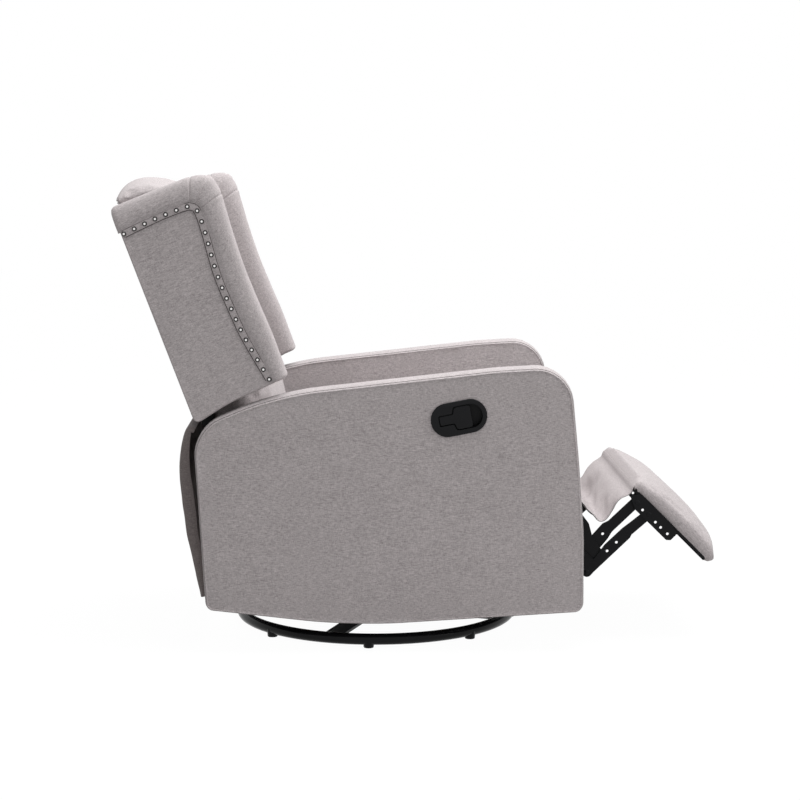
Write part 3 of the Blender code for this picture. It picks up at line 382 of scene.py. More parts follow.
HANDLE_TILT = math.radians(11)
BEZEL_LENGTH = 0.122
BEZEL_WIDTH = 0.073
CUP_INSET = 0.0055
CUP_DEPTH = 0.0255
POCKET_GAP = 0.001
BORE_PAST = 0.02


def linen(name, turn=0.0, dark=LINEN_DARK, light=LINEN_LIGHT):
    """Slub linen: threads that thicken and thin along each direction, and slow patches of light and dark."""
    material, shader, spot = start_material(name)
    cloth = spot.node("Mapping", None, {"Vector": spot, "Rotation": (0, turn, 0)})
    threads = []
    for scale in ((120.0, 900.0, 900.0), (900.0, 900.0, 170.0), (900.0, 130.0, 900.0)):
        drawn = cloth.node("Mapping", None, {"Vector": cloth, "Scale": scale})
        threads.append(drawn.node("TexNoise", None, {"Vector": drawn, "Scale": 1.0, "Detail": 3.0}))
    slub = threads[0] * 0.44 + threads[1] * 0.28 + threads[2] * 0.28
    patch = speckle(cloth, 14.0, 3.0)
    shade = (slub - 0.5) * 3.4 + patch * 0.14 + 0.42
    spot.feed(shader.inputs["Base Color"], shade.mix(dark, light))
    spot.feed(shader.inputs["Roughness"], 0.86 + 0.1 * slub)
    shader.inputs["Specular IOR Level"].default_value = 0.2
    shader.inputs["Sheen Weight"].default_value = 0.12
    shader.inputs["Sheen Roughness"].default_value = 0.5
    bump = slub.node("Bump", None, {"Strength": 0.4, "Distance": 0.0009, "Height": slub})
    spot.feed(shader.inputs["Normal"], bump)
    return material


def painted_seam_shadow():
    """A painted shadow: a near-black cord colour for the bottom of a seam's groove, with a twist along it."""
    material, shader, spot = start_material("painted_seam_shadow")
    twist = speckle(spot, 900.0)
    # Painted shadow: near-black colour standing in for the shade at the bottom of a seam's groove.
    spot.feed(shader.inputs["Base Color"], twist.mix((0.050, 0.042, 0.042), (0.110, 0.096, 0.096)))
    shader.inputs["Roughness"].default_value = 0.95
    shader.inputs["Specular IOR Level"].default_value = 0.1
    return material


def plane(x, z, turn):
    """Points in a plane across the chair: forward, sideways and up from its origin, turned by an angle."""
    space = Matrix.Translation((swivel_x + x, 0, z)) @ Matrix.Rotation(-turn, 4, "Y")
    return lambda a, y, b: space @ Vector((a, y, b))


def rounded(corners, longest):
    """Points round an outline whose corners, each (a, b, radius), are rounded off."""
    bm = bmesh.new()
    verts = [bm.verts.new((a, b, 0)) for a, b, _ in corners]
    bm.faces.new(verts)
    for i, (a, b, radius) in enumerate(corners):
        here = Vector((a, b))
        before = Vector(corners[i - 1][:2]) - here
        after = Vector(corners[(i + 1) % len(corners)][:2]) - here
        cut = radius / math.tan(before.angle(after) / 2)
        if radius:
            bmesh.ops.bevel(
                bm, geom=[verts[i]], offset=cut, affect="VERTICES", segments=8, profile=0.5, material=-1
            )
    for edge in bm.edges[:]:
        cuts = int(edge.calc_length() / longest)
        if cuts:
            bmesh.ops.subdivide_edges(bm, edges=[edge], cuts=cuts)
    bm.faces.ensure_lookup_table()
    points = [v.co.xy.copy() for v in bm.faces[0].verts]
    bm.free()
    return points


def slab(points, place, low, high):
    """A flat board of one outline, between two places across the chair."""
    bm = bmesh.new()
    bm.faces.new([bm.verts.new(place(p.x, low, p.y)) for p in points])
    lifted = bmesh.ops.extrude_face_region(bm, geom=bm.faces[:], use_keep_orig=True)["geom"]
    verts = [g for g in lifted if isinstance(g, bmesh.types.BMVert)]
    bmesh.ops.translate(bm, verts=verts, vec=(0, high - low, 0))
    bmesh.ops.recalc_face_normals(bm, faces=bm.faces)
    return bm


def soften(bm, at, radius, steps):
    """Rounds the rim of a slab's flat face that lies at one place across the chair."""
    faces = [f for f in bm.faces if len(f.verts) > 8 and abs(f.calc_center_median().y - at) < 1e-4]
    rim = list(faces[0].edges)
    bmesh.ops.bevel(bm, geom=rim, offset=radius, affect="EDGES", segments=steps, profile=0.5, material=-1)


def gridded(bm, axes, spacing):
    """Cuts a mesh along evenly spaced planes, so that its flat faces can bend."""
    helper = bm.edges.layers.int.new("helper")
    for edge in bmesh.ops.triangulate(bm, faces=[f for f in bm.faces if len(f.verts) > 4])["edges"]:
        edge[helper] = 1
    for axis in axes:
        places = [v.co.dot(axis) for v in bm.verts]
        low = min(places)
        high = max(places)
        count = int((high - low) / spacing)
        for k in range(1, count):
            at = axis * (low + (high - low) * k / count)
            every = bm.verts[:] + bm.edges[:] + bm.faces[:]
            bmesh.ops.bisect_plane(bm, geom=every, dist=1e-6, plane_co=at, plane_no=axis)
    bmesh.ops.dissolve_edges(bm, edges=[e for e in bm.edges if e[helper]], use_verts=True)


def waves(point, seed, size):
    """Smooth repeatable waviness from about -1 to 1."""
    return noise.noise(Vector(point) / size + Vector((seed, 2 * seed, 3 * seed)))


def wrapped(around, along, shape):
    """A skin made by rolling a grid: shape turns the two shares, round it and along it, into a point."""
    bm = bmesh.new()
    bmesh.ops.create_grid(bm, x_segments=around, y_segments=along, size=1.0)
    for vert in bm.verts:
        vert.co = shape((vert.co.x + 1) / 2, (vert.co.y + 1) / 2)
    bmesh.ops.remove_doubles(bm, verts=bm.verts, dist=1e-6)
    bmesh.ops.holes_fill(bm, edges=bm.edges, sides=0)
    return bm


def shadow_cord(points, place, y, closed):
    """A thin round cord that follows points in a plane, at one place across the chair; it carries painted
    seam shadow.
    """
    count = len(points)
    ends = (points[-1], points[0]) if closed else (points[0], points[-1])
    run = [ends[0], *points, ends[1]]

    def shape(turn, way):
        k = round(way * (count if closed else count - 1)) % count
        along = (run[k + 2] - run[k]).normalized()
        angle = math.tau * turn
        at = points[k] + SEAM_RADIUS * math.cos(angle) * Vector((-along.y, along.x))
        return place(at.x, y + SEAM_RADIUS * math.sin(angle), at.y)

    return wrapped(6, count if closed else count - 1, shape)


def bored(bm, tool):
    """Takes one closed mesh out of another."""
    solids = []
    for part in (bm, tool):
        mesh = bpy.data.meshes.new("solid")
        part.to_mesh(mesh)
        part.free()
        solids.append(bpy.data.objects.new("solid", mesh))
        scene.collection.objects.link(solids[-1])
    cut = solids[0].modifiers.new("cut", "BOOLEAN")
    cut.object = solids[1]
    cut.solver = "EXACT"
    left = bmesh.new()
    left.from_object(solids[0], bpy.context.evaluated_depsgraph_get())
    for old in solids:
        bpy.data.meshes.remove(old.data)
    return left


def handle_pocket():
    """The hole in the right arm that the bezel's cup goes into."""
    long = BEZEL_LENGTH / 2 - CUP_INSET + POCKET_GAP
    wide = BEZEL_WIDTH / 2 - CUP_INSET + POCKET_GAP
    corners = [(a * long, b * wide, wide - 0.0005) for a, b in ((-1, -1), (1, -1), (1, 1), (-1, 1))]
    place = plane(HANDLE_X, HANDLE_Z, HANDLE_TILT)
    return slab(rounded(corners, 0.01), place, -ARM_OUTER - BORE_PAST, -ARM_OUTER + CUP_DEPTH + POCKET_GAP)


arm_outline = rounded(ARM_CORNERS, 0.012)
level = plane(0, 0, 0)


def arm_band(low, high):
    """The boxed band: a slab across the arm, crowned between its two seams."""
    bm = slab(arm_outline, level, low, high)
    for at in (low, high):
        soften(bm, at, ARM_BAND_EDGE, 3)
    gridded(bm, [Vector((0, 1, 0))], 0.005)
    bm.normal_update()
    moves = []
    for vert in bm.verts:
        share = (vert.co.y - low) / (high - low)
        out = Vector((vert.normal.x, 0, vert.normal.z))
        crown = ARM_BAND_CROWN * max(0, 1 - abs(2 * share - 1) ** 3)
        by_seam = math.exp(-share / PUCKER_REACH) + math.exp(-(1 - share) / PUCKER_REACH)
        moves.append(out * (crown + PUCKER_RISE * by_seam * waves(vert.co, 3, 0.024)))
    for vert, move in zip(bm.verts, moves):
        vert.co += move
    return bm


def arm_panel(seam, face):
    """A flat side panel: a thin padded board with a soft edge, drawn in a little along its seam."""
    bm = slab(arm_outline, level, seam, face)
    soften(bm, face, ARM_PANEL_EDGE, 4)
    gridded(bm, [Vector((1, 0, 0)), Vector((0, 0, 1))], 0.014)
    inwards = math.copysign(1, seam - face)
    for vert in bm.verts:
        if abs(vert.co.y - face) < 1e-4:
            here = Vector((vert.co.x - swivel_x, vert.co.z))
            gap = min((here - p).length for p in arm_outline)
            draw = SEAM_DRAW * math.exp(-gap / SEAM_DRAW_REACH) * (0.7 + waves(vert.co, 7, 0.032))
            slow = ARM_PANEL_WAVE * (1 + waves(vert.co, 11, 0.16))
            vert.co.y += inwards * (draw + slow)
    return bm


arm_linen = linen("arm_linen")
seam_shadow_paint = painted_seam_shadow()
for side_name, side in (("left", 1), ("right", -1)):
    outer_seam = ARM_OUTER - ARM_PANEL
    inner_seam = ARM_INNER + ARM_LINING
    band = arm_band(*sorted((side * (inner_seam + ARM_SEAM_GAP), side * (outer_seam - ARM_SEAM_GAP))))
    outside = arm_panel(side * outer_seam, side * ARM_OUTER)
    if side < 0:
        band = bored(band, handle_pocket())
        outside = bored(outside, handle_pocket())
    inside = arm_panel(side * inner_seam, side * ARM_INNER)
    made = (
        piece(f"arm_band_{side_name}", band, "chassis", arm_linen, "linen", f"arm_wrap_{side_name}"),
        piece(f"arm_side_{side_name}", outside, "chassis", arm_linen, "linen", f"arm_outside_{side_name}"),
        piece(f"arm_inside_{side_name}", inside, "chassis", arm_linen, "linen"),
    )
    # A dark cord along each seam is painted shadow for the seam's groove.
    for seam_name, y in (("outer", outer_seam + SEAM_PLACE), ("inner", inner_seam - SEAM_PLACE)):
        bm = shadow_cord(arm_outline, level, side * y, True)
        piece(f"arm_seam_shadow_{seam_name}_{side_name}", bm, "chassis", seam_shadow_paint, "linen")

# Release handle
# A moulded black bezel set into the right arm, with a keyhole-shaped cup in it for the fingers.
# The paddle lies in the keyhole, turns on a pin at its rear end and pulls the footrest's release cable.
BEZEL_PROUD = 0.0032
CUP_FLOOR = 0.0035
STEM_REAR = -0.0420
STEM_HALF = 0.0102
NECK = -0.0115
SHOULDER = -0.0075
GRIP_HALF = 0.0245
GRIP_FRONT = 0.0268
CUP_FRONT = 0.0510
KEYHOLE_GAP = 0.0015
PADDLE_SINK = 0.001
PADDLE_THICK = 0.006


def black_plastic():
    """Moulded plastic with a fine even grain."""
    material, shader, spot = start_material("black_plastic")
    grain = speckle(spot, 1500.0)
    spot.feed(shader.inputs["Base Color"], grain.mix((0.004, 0.004, 0.005), (0.009, 0.009, 0.010)))
    spot.feed(shader.inputs["Roughness"], 0.30 + 0.18 * grain)
    shader.inputs["Specular IOR Level"].default_value = 0.14
    bump = grain.node("Bump", None, {"Strength": 0.2, "Distance": 0.0003, "Height": grain})
    spot.feed(shader.inputs["Normal"], bump)
    return material


on_handle = plane(HANDLE_X, HANDLE_Z, HANDLE_TILT)


def keyhole(front, front_radius, grow):
    """The outline of the paddle or, grown and longer, of the cup round it."""
    half = (
        (STEM_REAR - grow, STEM_HALF + grow, 0.003),
        (NECK - grow, STEM_HALF + grow, 0.003),
        (SHOULDER - grow, GRIP_HALF + grow, 0.007),
        (front, GRIP_HALF + grow, front_radius),
    )
    return rounded([(a, -b, r) for a, b, r in half] + list(half[::-1]), 0.004)


def bezel():
    """A rounded lip and the cup's body behind it, with the keyhole bored out of both."""
    section = (
        (CUP_INSET, -CUP_DEPTH),
        (CUP_INSET, 0.0003),
        (0.0, 0.0003),
        (0.0, 0.0016),
        (0.0005, 0.0026),
        (0.0016, BEZEL_PROUD),
    )
    shift = (BEZEL_LENGTH - BEZEL_WIDTH) / 2

    def shape(turn, way):
        inset, rise = section[round(way * (len(section) - 1))]
        radius = BEZEL_WIDTH / 2 - inset
        angle = math.tau * turn
        end = math.copysign(shift, math.cos(angle))
        return on_handle(end + radius * math.cos(angle), -ARM_OUTER - rise, radius * math.sin(angle))

    body = wrapped(96, len(section) - 1, shape)
    bmesh.ops.recalc_face_normals(body, faces=body.faces)
    cup = keyhole(CUP_FRONT, GRIP_HALF, KEYHOLE_GAP)
    return bored(body, slab(cup, on_handle, -ARM_OUTER - BORE_PAST, -ARM_OUTER + CUP_DEPTH - CUP_FLOOR))


def paddle():
    """A flat keyhole-shaped lever with softened edges."""
    face = -ARM_OUTER - BEZEL_PROUD + PADDLE_SINK
    bm = slab(keyhole(GRIP_FRONT, 0.006, 0), on_handle, face, face + PADDLE_THICK)
    soften(bm, face, 0.0013, 3)
    soften(bm, face + PADDLE_THICK, 0.0008, 2)
    return bm


moulded = black_plastic()
piece("bezel", bezel(), "chassis", moulded, "black_plastic", "handle_bezel")
piece("paddle", paddle(), "handle", moulded, "black_plastic", "handle_paddle")
dress(moulded, "release_cable")

# Wings and nail trim
# Side wings of the back: a flat outside panel, and a padded roll along the front and the top edge.
# A flat welt covers the join, held by a row of domed nails whose bright crests and dark rims are painted
# highlight and shade; the roll is pleated at its corner. Two dark cords along the welt's edges are painted
# shadow.
BACK_X = -0.250
BACK_Z = 0.400
BACK_TILT = math.radians(20.5)
WING_IN = 0.2755
WING_PANEL = 0.338
WING_FACE = 0.345
WING_CORE = (
    (-0.0992, 0.140, 0.013),
    (-0.015, 0.158, 0.3),
    (0.104, 0.1655, 0.014),
    (0.088, 0.300, 0.4),
    (0.080, 0.430, 0.4),
    (0.088, 0.560, 0.05),
    (0.070, 0.598, 0.03),
    (-0.0992, 0.600, 0.008),
)
ROLL_STATIONS = (
    (0.0890, 0.1655, 0.1235, 0.1665),
    (0.0815, 0.224, 0.1240, 0.222),
    (0.0740, 0.270, 0.1240, 0.270),
    (0.0690, 0.330, 0.1215, 0.330),
    (0.0665, 0.424, 0.1195, 0.412),
    (0.0735, 0.500, 0.1225, 0.490),
    (0.0755, 0.556, 0.1280, 0.560),
    (0.0755, 0.5670, 0.1300, 0.5810),
    (0.0745, 0.5725, 0.1280, 0.6040),
    (0.0720, 0.5770, 0.1220, 0.6225),
    (0.0680, 0.5810, 0.1040, 0.6330),
    (0.0620, 0.5840, 0.0820, 0.6380),
    (0.0500, 0.5865, 0.0530, 0.6390),
    (-0.016, 0.5855, -0.016, 0.6380),
    (-0.1035, 0.5785, -0.1035, 0.6360),
)
PLEATS = ((0.1300, 0.5810), (0.1180, 0.6268), (0.0800, 0.6382))
PLEAT_WIDTH = 0.0022
NAIL_LINE = (
    (-0.092, 0.5740),
    (-0.016, 0.5805),
    (0.044, 0.5815),
    (0.062, 0.5775),
    (0.0705, 0.5655),
    (0.0705, 0.526),
    (0.0615, 0.424),
    (0.064, 0.330),
    (0.069, 0.270),
    (0.0847, 0.1767),
)
NAIL_COUNT = 24
NAIL_RADIUS = 0.0052
NAIL_DOME = 0.62
NAIL_SEAT = 0.0018
NAIL_HIGHLIGHT_FROM = 0.82
WELT_HALF = 0.0076
WELT_LIFT = 0.0006
WELT_THICK = 0.0012
WELT_STEPS = 120
in_back = plane(BACK_X, BACK_Z, BACK_TILT)


def route(keys, count):
    """Evenly spaced points on a smooth curve through a few key points."""
    ends = [Vector(k) for k in (keys[0], *keys, keys[-1])]
    fine = []
    for before, start, stop, after in zip(ends, ends[1:], ends[2:], ends[3:]):
        for t in (k / 20 for k in range(20)):
            bend = (2 * before - 5 * start + 4 * stop - after) * t
            twist = (3 * start - before - 3 * stop + after) * t * t
            fine.append(start + 0.5 * t * (stop - before + bend + twist))
    fine.append(ends[-1])
    run = [0.0]
    for a, b in zip(fine, fine[1:]):
        run.append(run[-1] + (b - a).length)
    points = []
    at = 0
    for k in range(count):
        goal = run[-1] * k / (count - 1)
        while at < len(fine) - 2 and run[at + 1] < goal:
            at += 1
        points.append(fine[at].lerp(fine[at + 1], (goal - run[at]) / (run[at + 1] - run[at])))
    return points


def wing_core(side):
    """The wing's flat body behind the roll."""
    bm = slab(rounded(WING_CORE, 0.012), in_back, *sorted((side * WING_IN, side * WING_PANEL)))
    soften(bm, side * WING_IN, 0.008, 4)
    soften(bm, side * WING_PANEL, 0.005, 4)
    gridded(bm, [in_back(1, 0, 0) - in_back(0, 0, 0), in_back(0, 0, 1) - in_back(0, 0, 0)], 0.016)
    for vert in bm.verts:
        if abs(abs(vert.co.y) - WING_PANEL) < 1e-4:
            vert.co.y -= side * 0.0006 * (1 + waves(vert.co, 15 + side, 0.12))
    return bm


def wing_roll(side):
    """The padded roll: a full section from the welt round the edge to the inside, carried along the wing."""
    steps = 420
    line = route(ROLL_STATIONS, steps + 1)
    middle = (WING_FACE + WING_IN) / 2
    half = (WING_FACE - WING_IN) / 2
    flat = 0.86

    def shape(turn, way):
        station = line[round(way * steps)]
        welt_point = Vector(station[:2])
        edge = Vector(station[2:])
        if turn > flat or turn < 1e-6:
            share = (turn - flat) / (1 - flat) if turn > flat else 1.0
            y = WING_IN + (WING_PANEL - WING_IN) * share
            return in_back(welt_point.x, side * y, welt_point.y)
        angle = math.pi * (0.5 - turn / flat)
        square = 0.60 + 0.25 * min(1, max(0, (way - 0.58) / 0.08))
        reach = abs(math.cos(angle)) ** square
        out = math.copysign(abs(math.sin(angle)) ** square, angle)
        fold = sum(math.exp(-(((edge - Vector(p)).length / PLEAT_WIDTH) ** 2)) for p in PLEATS)
        end = min(1, min(way / 0.012, (1 - way) / 0.022))
        closing = 0.82 + 0.18 * math.sqrt(1 - (1 - end) ** 2)
        point = welt_point.lerp(edge, reach * closing - 0.03 * fold * reach)
        gap = (point - welt_point).length
        dip = (WING_FACE - WING_PANEL) * math.exp(-gap / 0.006) if angle > 0 else 0.0
        ripple = 0.0010 * (1 + waves((point.x, point.y, side), 5, 0.045)) if out > 0 else 0.0
        y = middle + half * out * closing * (1 - 0.05 * fold) - dip - ripple
        return in_back(point.x, side * y, point.y)

    return wrapped(48, steps, shape)


def welt(side):
    """A thin band of doubled cloth under the nails."""
    line = route(NAIL_LINE, WELT_STEPS + 1)

    def shape(turn, way):
        k = round(way * WELT_STEPS)
        along = (line[min(k + 1, WELT_STEPS)] - line[max(k - 1, 0)]).normalized()
        angle = math.tau * turn
        wide = WELT_HALF * math.copysign(abs(math.cos(angle)) ** 0.5, math.cos(angle))
        at = line[k] + wide * Vector((-along.y, along.x))
        return in_back(at.x, side * (WING_PANEL + WELT_LIFT + WELT_THICK * math.sin(angle)), at.y)

    return wrapped(16, WELT_STEPS, shape)


def joined(bm, other):
    """Adds one mesh to another."""
    mesh = bpy.data.meshes.new("joined")
    other.to_mesh(mesh)
    other.free()
    bm.from_mesh(mesh)
    bpy.data.meshes.remove(mesh)


def welt_edge_shadows(side):
    """Two dark cords along the welt's edges: painted shadow lines."""
    line = route(NAIL_LINE, WELT_STEPS + 1)
    bm = bmesh.new()
    for edge in (-WELT_HALF, WELT_HALF):
        moved = []
        for before, here, after in zip(line[:1] + line[:-1], line, line[1:] + line[-1:]):
            along = (after - before).normalized()
            moved.append(here + edge * Vector((-along.y, along.x)))
        joined(bm, shadow_cord(moved, in_back, side * (WING_PANEL + WELT_LIFT), False))
    return bm


def nails(side):
    """Domed nail heads along the welt; each point is marked with how far up its dome it lies."""
    bm = bmesh.new()
    crest = bm.verts.layers.float.new("crest")
    for point in route(NAIL_LINE, NAIL_COUNT):
        spot = in_back(point.x, side * (WING_PANEL + NAIL_SEAT), point.y)
        facing = Matrix.Translation(spot) @ Matrix.Rotation(math.pi / 2, 4, "X")
        flat = facing @ Matrix.Diagonal((1, 1, NAIL_DOME, 1))
        dome = bmesh.ops.create_uvsphere(bm, u_segments=16, v_segments=10, radius=NAIL_RADIUS, matrix=flat)
        for vert in dome["verts"]:
            vert[crest] = abs(vert.co.y - spot.y) / (NAIL_DOME * NAIL_RADIUS)
    return bm


def nail_metal():
    """Nickel with painted light: a bright painted highlight on the crest of each dome and painted shade round
    its rim.
    """
    material, shader, spot = start_material("nail_metal")
    scuff = speckle(spot, 400.0, 3.0)
    crest = spot.node("Attribute", {"attribute_name": "crest"}, None, "Fac")
    # Painted highlight and shade: near-black base colour round each dome's rim, bright on its crest.
    painted_highlight = (crest - NAIL_HIGHLIGHT_FROM) * 6.0 + 0.2 * scuff
    spot.feed(shader.inputs["Base Color"], painted_highlight.mix((0.030, 0.028, 0.028), (0.86, 0.85, 0.84)))
    spot.feed(shader.inputs["Roughness"], 0.12 + 0.16 * scuff)
    shader.inputs["Metallic"].default_value = 1.0
    return material


back_linen = linen("back_linen", BACK_TILT)
nickel = nail_metal()
for side_name, side in (("left", 1), ("right", -1)):
    core = wing_core(side)
    body = piece(f"wing_body_{side_name}", core, "backrest", back_linen, "linen", f"wing_{side_name}")
    roll = piece(f"wing_roll_{side_name}", wing_roll(side), "backrest", back_linen, "linen")
    piece(f"welt_{side_name}", welt(side), "backrest", back_linen, "linen")
    # The welt's edge cords are painted shadow.
    piece(f"welt_edge_shadows_{side_name}", welt_edge_shadows(side), "backrest", seam_shadow_paint, "linen")
    piece(f"nails_{side_name}", nails(side), "backrest", nickel, "nail_metal", f"nail_trim_{side_name}")

# Back panel
# The outside back: linen stretched over a board behind the frame and tacked along its edges.
# It lies between the two wings' rear edges, and its lower end covers the top of the rear flap.
BACK_PANEL_REAR = -0.0995
BACK_PANEL_FRONT = -0.0918
BACK_PANEL_LOW = 0.139
BACK_PANEL_TOP = 0.6365
BACK_PANEL_HALF = WING_IN + 0.004


def back_board():
    corners = (
        (BACK_PANEL_REAR, BACK_PANEL_LOW, 0.004),
        (BACK_PANEL_FRONT, BACK_PANEL_LOW, 0),
        (BACK_PANEL_FRONT, BACK_PANEL_TOP, 0),
        (BACK_PANEL_REAR, BACK_PANEL_TOP, 0.005),
    )
    bm = slab(rounded(corners, 0.014), in_back, -BACK_PANEL_HALF, BACK_PANEL_HALF)
    gridded(bm, [Vector((0, 1, 0))], 0.016)
    rear = in_back(BACK_PANEL_REAR, 0, 0)
    back = in_back(-1, 0, 0) - in_back(0, 0, 0)
    for vert in bm.verts:
        if abs((vert.co - rear).dot(back)) < 1e-4:
            edge = math.exp(-(BACK_PANEL_HALF - abs(vert.co.y)) / 0.012)
            vert.co -= back * (0.003 * edge + 0.0008 * (1 + waves(vert.co, 19, 0.15)))
    return bm


board = piece("outside_back", back_board(), "backrest", back_linen, "linen", "back_panel")
dress(back_linen, "back_frame")

# Seat cushion
# A foam block under fibre wrap in a sewn linen cover, pulled over the seat springs; the front is boxed.
# The cover is swollen by its filling and drawn in along its seam; the cross rails are wrapped as well.
CUSHION_VOXEL = 0.006
CUSHION_FRAMES = 20
CUSHION_PRESSURE = 4.0
SEAT_SWELL = 0.014
SEAT_HALF = 0.264
SEAT_SEAM_Z = 0.446
SEAT_SEAM_DEPTH = 0.004
SEAT_SEAM_WIDTH = 0.006
SEAT_CORNERS = (
    (-0.190, 0.352, 0.010),
    (0.405, 0.352, 0.020),
    (0.420, 0.420, 0.060),
    (0.404, 0.476, 0.040),
    (0.120, 0.476, 0.5),
    (-0.135, 0.462, 0.030),
    (-0.140, 0.410, 0.012),
    (-0.190, 0.402, 0.010),
)


def puffed(bm, cap, firm=False):
    """A cover swollen by its filling: every point moves by the simulation, and by no more than the cap.
    A firm filling doesn't let the cover sink in."""
    mesh = bpy.data.meshes.new("cover")
    bm.to_mesh(mesh)
    bm.free()
    cover = bpy.data.objects.new("cover", mesh)
    scene.collection.objects.link(cover)
    remesh = cover.modifiers.new("remesh", "REMESH")
    remesh.mode = "VOXEL"
    remesh.voxel_size = CUSHION_VOXEL
    cover.data = bpy.data.meshes.new_from_object(cover.evaluated_get(bpy.context.evaluated_depsgraph_get()))
    cover.modifiers.clear()
    cloth = cover.modifiers.new("cloth", "CLOTH")
    cloth.settings.quality = 5
    cloth.settings.mass = 0.3
    cloth.settings.tension_stiffness = 15
    cloth.settings.compression_stiffness = 15
    cloth.settings.shear_stiffness = 5
    cloth.settings.bending_stiffness = 0.6
    cloth.settings.use_pressure = True
    cloth.settings.uniform_pressure_force = CUSHION_PRESSURE
    cloth.settings.effector_weights.gravity = 0
    cloth.point_cache.frame_start = 1
    cloth.point_cache.frame_end = CUSHION_FRAMES
    for number in range(1, CUSHION_FRAMES + 1):
        scene.frame_set(number)
    swollen = bmesh.new()
    swollen.from_object(cover, bpy.context.evaluated_depsgraph_get())
    for vert, start in zip(swollen.verts, cover.data.vertices):
        move = vert.co - start.co
        if firm:
            move -= start.normal * min(0, move.dot(start.normal))
        vert.co = start.co + move * min(1, cap / max(move.length, 1e-9))
    scene.frame_set(1)
    bpy.data.objects.remove(cover)
    return swollen


def groove(bm, depth, width, away):
    """Draws a cushion in along a sewn line; away tells how far a point lies from that line."""
    bm.normal_update()
    moves = [v.normal * depth * math.exp(-((away(v.co) / width) ** 2)) for v in bm.verts]
    for vert, move in zip(bm.verts, moves):
        vert.co -= move


def seat_cover():
    bm = slab(rounded(SEAT_CORNERS, 0.016), level, -SEAT_HALF, SEAT_HALF)
    for at in (-SEAT_HALF, SEAT_HALF):
        soften(bm, at, 0.020, 5)
    bm = puffed(bm, SEAT_SWELL)
    groove(bm, SEAT_SEAM_DEPTH, SEAT_SEAM_WIDTH, lambda co: co.z - SEAT_SEAM_Z)
    return bm


seat = piece("seat_cover", seat_cover(), "seat", arm_linen, "linen", "seat_cushion")
dress(arm_linen, "seat_front_rail", "seat_rear_rail")

# Back cushion
# The inside back: foam in a linen cover that runs up over the frame as a crown and down its rear edge.
# Two sewn channels cross it, above the lumbar roll and below the head roll.
BACK_HALF = 0.262
CROWN_FOOT = 0.640
FRONT_FALL = 0.019
CROWN_FALL = 0.75
BACK_SWELL = 0.012
CHANNELS = (0.270, 0.455)
CHANNEL_DEPTH = 0.010
CHANNEL_WIDTH = 0.010
BACK_CORNERS = (
    (-0.069, 0.030, 0.004),
    (0.060, 0.026, 0.040),
    (0.071, 0.130, 0.12),
    (0.082, 0.250, 0.40),
    (0.071, 0.400, 0.8),
    (0.046, 0.590, 0.16),
    (0.010, 0.653, 0.06),
    (-0.060, 0.679, 0.07),
    (-0.1045, 0.675, 0.022),
    (-0.1045, 0.642, 0.004),
    (-0.069, 0.640, 0.002),
)


def back_cover():
    bm = slab(rounded(BACK_CORNERS, 0.016), in_back, -BACK_HALF, BACK_HALF)
    for at in (-BACK_HALF, BACK_HALF):
        soften(bm, at, 0.014, 4)
    gridded(bm, [Vector((0, 1, 0))], 0.030)
    origin = in_back(0, 0, 0)
    up = in_back(0, 0, 1) - origin
    forward = in_back(1, 0, 0) - origin
    for vert in bm.verts:
        aside = (vert.co.y / BACK_HALF) ** 2
        rise = (vert.co - origin).dot(up) - CROWN_FOOT
        if rise > 0:
            vert.co -= up * rise * CROWN_FALL * aside
        ahead = (vert.co - origin).dot(forward)
        if ahead > 0:
            vert.co -= forward * FRONT_FALL * aside * min(1, ahead / FRONT_FALL)
    bm = puffed(bm, BACK_SWELL)
    for w in CHANNELS:
        groove(bm, CHANNEL_DEPTH, CHANNEL_WIDTH, lambda co: (co - origin).dot(up) - w)
    return bm


back = piece("back_cover", back_cover(), "backrest", back_linen, "linen", "back_cushion")

# Footrest pad
# A thin foam pad upholstered over the footrest board, fuller in the middle than at its two ends.
# The cover is folded square at the ends; black dust cloth covers the board below it.
PAD_X = 0.565
PAD_Z = 0.347
PAD_TILT = math.radians(-45)
PAD_HALF = 0.268
PAD_CORNERS = (
    (0.000, -0.0065, 0.003),
    (0.2370, -0.0060, 0.006),
    (0.2450, 0.012, 0.012),
    (0.230, 0.0400, 0.030),
    (0.165, 0.0490, 0.10),
    (0.062, 0.0450, 0.12),
    (0.000, 0.025, 0.006),
)
PAD_END_THIN = 0.42
PAD_FLOOR = -0.0060
PAD_SWELL = 0.005
on_pad = plane(PAD_X, PAD_Z, PAD_TILT)


def pad_cover():
    bm = slab(rounded(PAD_CORNERS, 0.014), on_pad, -PAD_HALF, PAD_HALF)
    for at in (-PAD_HALF, PAD_HALF):
        soften(bm, at, 0.009, 4)
    gridded(bm, [Vector((0, 1, 0))], 0.020)
    origin = on_pad(0, 0, 0)
    up = on_pad(0, 0, 1) - origin
    for vert in bm.verts:
        rise = (vert.co - origin).dot(up)
        if rise > 0:
            vert.co -= up * rise * PAD_END_THIN * (abs(vert.co.y) / PAD_HALF) ** 4
    bm = puffed(bm, PAD_SWELL, firm=True)
    for vert in bm.verts:
        rise = (vert.co - origin).dot(up)
        vert.co += up * (max(PAD_FLOOR, rise) - rise)
    return bm


def dust_cloth():
    """Thin black nonwoven stapled under the board and over its edges."""
    material, shader, spot = start_material("dust_cloth")
    fibre = speckle(spot, 900.0, 3.0)
    spot.feed(shader.inputs["Base Color"], fibre.mix((0.008, 0.008, 0.009), (0.020, 0.020, 0.021)))
    shader.inputs["Roughness"].default_value = 0.95
    shader.inputs["Specular IOR Level"].default_value = 0.1
    bump = fibre.node("Bump", None, {"Strength": 0.3, "Distance": 0.0004, "Height": fibre})
    spot.feed(shader.inputs["Normal"], bump)
    return material


dress(dust_cloth(), "footrest_board")
pad_linen = linen("pad_linen", PAD_TILT)
pad = piece("pad_cover", pad_cover(), "footrest", pad_linen, "linen", "footrest_pad")
